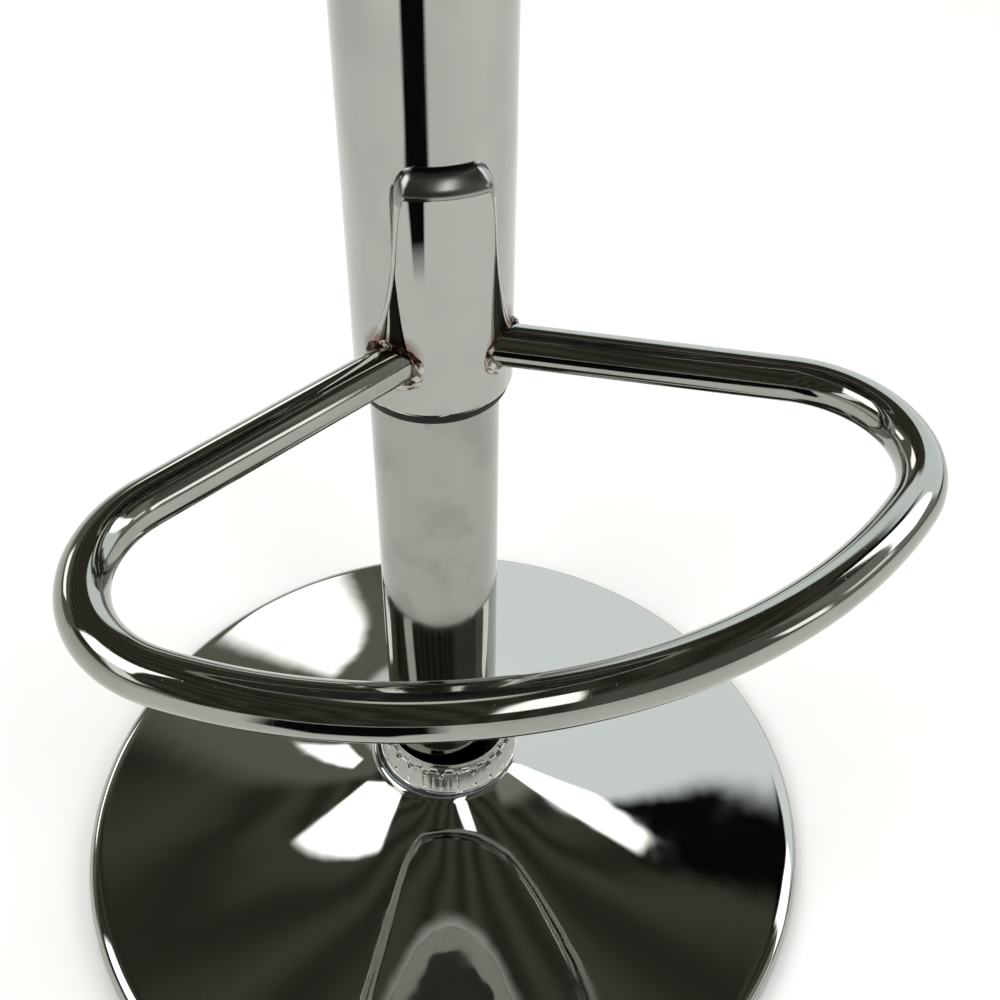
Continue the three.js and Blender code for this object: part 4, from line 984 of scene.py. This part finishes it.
fit_piece(floor_ring(), "base", "rubber", "floor_ring")


# The CAD nodes that stay take their slot's finish
for subpart in frame["record"]["subparts"]:
    node = frame["nodes"][subpart["node"]]
    node.data.materials.clear()
    node.data.materials.append(SLOT_FINISH[subpart["material_slot"]])


# Studio
BACKGROUND = "F3F3F1"
FLOOR_HALF = 6.0


def flat_sheet(name, corners, material):
    mesh = bpy.data.meshes.new(name)
    mesh.from_pydata(corners, [], [range(len(corners))])
    mesh.materials.append(material)
    return new_object(name, mesh)


def make_floor():
    """Pale paper. Far from the stool it glows, a painted light that makes it run into the background."""
    material, add, place = start_material("pale_paper_floor")
    mottle = add(NOISE, {"Vector": place, "Scale": 1 / (60 * MM), "Detail": 3.0})
    shade = add(MIX, {SHARE: mottle, FIRST: "EDEDEB", SECOND: "F1F1EF"}, **COLOURS)
    reach = add(VECTOR_MATH, {0: place}, "Value", operation="LENGTH")
    # Painted light: the floor glows more the further it lies from the stool
    far_glow = add(RANGE, {"Value": reach, FROM: 1.4, UPTO: 3.6, HIGH: 0.45})
    end_material(material, shade, 0.9, **{"Specular IOR Level": 0.1, "Emission Color": BACKGROUND,
                                          "Emission Strength": far_glow})
    corners = [(x * FLOOR_HALF, y * FLOOR_HALF, 0) for x, y in [(-1, -1), (1, -1), (1, 1), (-1, 1)]]
    floor = flat_sheet("floor", corners, material)


make_floor()

# What the chrome sees of the studio. Each panel has the softness of its edge, its colour and brightness, and
# its corners, clockwise from the upper left, as heading and height in degrees: heading 0 is behind the stool
# and 90 to its right. A panel is laid over those before it, and none is wider than 170 degrees.
PANELS = [
    ("back wall", 2.5, "E6EBEC", 1.35, [(-60, 12), (-12, 12), (40, 12), (89, 8), (89, -70), (-60, -70)]),
    ("wall left", 5, "E4E4DE", 1.1, [(-122, 16), (-60, 16), (-8, 14), (-8, -70), (-122, -70)]),
    ("wall right", 2, "E6ECEE", 1.8, [(17, 32), (34, 40), (58, 46), (86, 46), (92, 8), (17, -20)]),
    ("dark gap right", 1.5, "141410", 0.6, [(57, 40), (60, 50), (76, 52), (72, 41)]),
    ("wall shade left", 3, "9A9B8E", 0.62, [(-62, 34), (-40, 40), (-14, 36), (10, 34), (10, 8), (-62, 8)]),
    ("lamp on the wall", 1, "FFFFFF", 3.2, [(-45, 24.5), (-23, 25.5), (-29, 16), (-44, 18)]),
    ("white board", 1.2, "FFFFFF", 3.0, [(-8, 31), (5, 29), (5, 20), (1, 16), (-5, 17)]),
    ("large softbox", 1, "FFFFFF", 3.6, [(-92, 60), (-50, 47), (-61, 30), (-80, 29), (-104, 34)]),
    ("softbox skirt", 2, "FFFFFF", 1.9, [(-117, 14), (-100, 32), (-78, 33), (-100, 14)]),
    ("grey screen", 4, "9B9D96", 1.1, [(88, 36), (122, 46), (124, 0), (88, 0)]),
    ("strip lamp", 1, "FFFFFF", 1.8, [(104, 16), (117, 17), (117, 11), (106, 9)]),
    ("narrow softbox", 0.8, "FFFFFF", 3.6, [(70, 47), (75, 50), (104, 19), (98, 14), (83, 24), (70, 39)]),
    ("low wall right", 6, "8A8B84", 0.7, [(122, 38), (168, 34), (172, -6), (122, -6)]),
    ("low lamp", 1.5, "FFFFFF", 2.6, [(122, 14), (133, 18), (132, 7), (123, 1)]),
    ("front softbox", 1, "FFFFFF", 3.4, [(155, 61), (169, 61), (179, 49), (184, 28), (169, 28)]),
]
ROOM_DARK = "3A3A32"
ROOM_FOLDS = "55544A"
CEILING = "F2F2EE"


def heading_line(heading, height):
    """The direction at a heading and a height, both in degrees."""
    a, e = radians(heading), radians(height)
    return Vector((sin(a) * cos(e), cos(a) * cos(e), sin(e)))


def make_world():
    """The studio as the chrome mirrors it, and a plain background as the camera sees it."""
    world = bpy.data.worlds.new("studio")
    bpy.context.scene.world = world
    world.use_nodes = True
    world.node_tree.nodes.clear()
    add = partial(add_node, world.node_tree)
    ahead = add("ShaderNodeTexCoord", out="Generated")
    height = add(SPLIT, {"Vector": ahead}, "Z")
    folds = add(WAVE, {"Vector": ahead, "Scale": 2.2, "Distortion": 9.0, "Detail": 2.0, "Detail Scale": 0.8},
                "Fac")
    room = add(MIX, {SHARE: folds, FIRST: ROOM_DARK, SECOND: ROOM_FOLDS}, **COLOURS)
    overhead = add(RANGE, {"Value": height, FROM: sin(radians(79)), UPTO: sin(radians(84))}, **SOFTLY)
    colour = add(MIX, {SHARE: overhead, FIRST: room, SECOND: linear(CEILING, 1.5)}, **COLOURS)
    for _, soft, code, strength, corners in PANELS:
        share = 1.0
        edge = sin(radians(soft))
        lines = [heading_line(*corner) for corner in corners]
        for here, after in zip(lines, lines[1:] + lines[:1]):
            inward = here.cross(after).normalized()
            past = add(VECTOR_MATH, {0: ahead, 1: inward}, "Value", operation="DOT_PRODUCT")
            inside = add(RANGE, {"Value": past, FROM: -edge, UPTO: edge}, **SOFTLY)
            share = add(MATH, {0: inside, 1: share}, operation="MULTIPLY")
        colour = add(MIX, {SHARE: share, FIRST: colour, SECOND: linear(code, strength)}, **COLOURS)
    seen = add("ShaderNodeBackground", {"Color": BACKGROUND})
    mirrored = add("ShaderNodeBackground", {"Color": colour})
    direct = add("ShaderNodeLightPath", out="Is Camera Ray")
    mixed = add(MIX_SHADER, {0: direct, 1: mirrored, 2: seen})
    add("ShaderNodeOutputWorld", {"Surface": mixed}, None)


make_world()


def soft_light(name, place, size, power):
    """A large soft lamp that lights the paper and the seat but isn't mirrored in the chrome."""
    data = bpy.data.lights.new(name, "AREA")
    data.shape = "DISK"
    data.size = size
    data.energy = power
    lamp = new_object(name, data)
    lamp.location = place
    lamp.rotation_mode = "QUATERNION"
    lamp.rotation_quaternion = (Vector((0, 0, 0.25)) - Vector(place)).to_track_quat("-Z", "Y")
    lamp.visible_glossy = False


soft_light("key_lamp", (-1.6, -1.3, 1.7), 1.3, 21)
soft_light("fill_lamp", (1.7, -1.0, 1.5), 1.3, 17)
soft_light("back_lamp", (0.2, 1.9, 1.6), 1.3, 16)
soft_light("top_lamp", (0.0, -0.2, 2.6), 1.6, 13)

# The dark cloth: a sector of a ring round the stool, narrower where it is near
CLOTH_HEADINGS = (-169, -135)
CLOTH_MIDDLE = radians(152)
CLOTH_NEAR, CLOTH_FAR = 0.42, 4.0


def dark_cloth():
    """A dark cloth on the floor in front on the left, seen only in the chrome, where it draws the column's
    dark band and fades out towards the stool."""
    material, add, place = start_material("dark_cloth")
    mottle = add(NOISE, {"Vector": place, "Scale": 4.0})
    tone = add(MIX, {SHARE: mottle, FIRST: "0B0B0A", SECOND: "171714"}, **COLOURS)
    reach = add(VECTOR_MATH, {0: place}, "Value", operation="LENGTH")
    ahead = add(SPLIT, {"Vector": place}, None)
    heading = add(MATH, {0: ahead["X"], 1: ahead["Y"]}, operation="ARCTAN2")
    off = add(MATH, {0: heading, 1: CLOTH_MIDDLE}, operation="ADD")
    narrower = add(RANGE, {"Value": reach, FROM: CLOTH_NEAR, UPTO: 0.62, LOW: 2.2})
    across = add(MATH, {0: off, 1: narrower}, operation="MULTIPLY")
    aside = add(MATH, {0: across}, operation="ABSOLUTE")
    within = add(RANGE, {"Value": aside, FROM: radians(16), UPTO: radians(12)})
    beyond = add(RANGE, {"Value": reach, FROM: CLOTH_NEAR, UPTO: 0.465})
    cover = add(MATH, {0: within, 1: beyond}, operation="MULTIPLY")
    glow = add("ShaderNodeEmission", {"Color": tone})
    clear = add("ShaderNodeBsdfTransparent")
    cloth = add(MIX_SHADER, {0: cover, 1: clear, 2: glow})
    add("ShaderNodeOutputMaterial", {"Surface": cloth}, None)
    headings = np.radians(np.linspace(*CLOTH_HEADINGS, 9))
    rim = [(sin(a) * CLOTH_NEAR, cos(a) * CLOTH_NEAR, 1 * MM) for a in headings]
    rim += [(sin(a) * CLOTH_FAR, cos(a) * CLOTH_FAR, 1 * MM) for a in headings[::-1]]
    card = flat_sheet("dark_cloth", rim, material)
    card.visible_camera = card.visible_diffuse = card.visible_shadow = False


dark_cloth()
bpy.context.scene.view_settings.view_transform = "Standard"
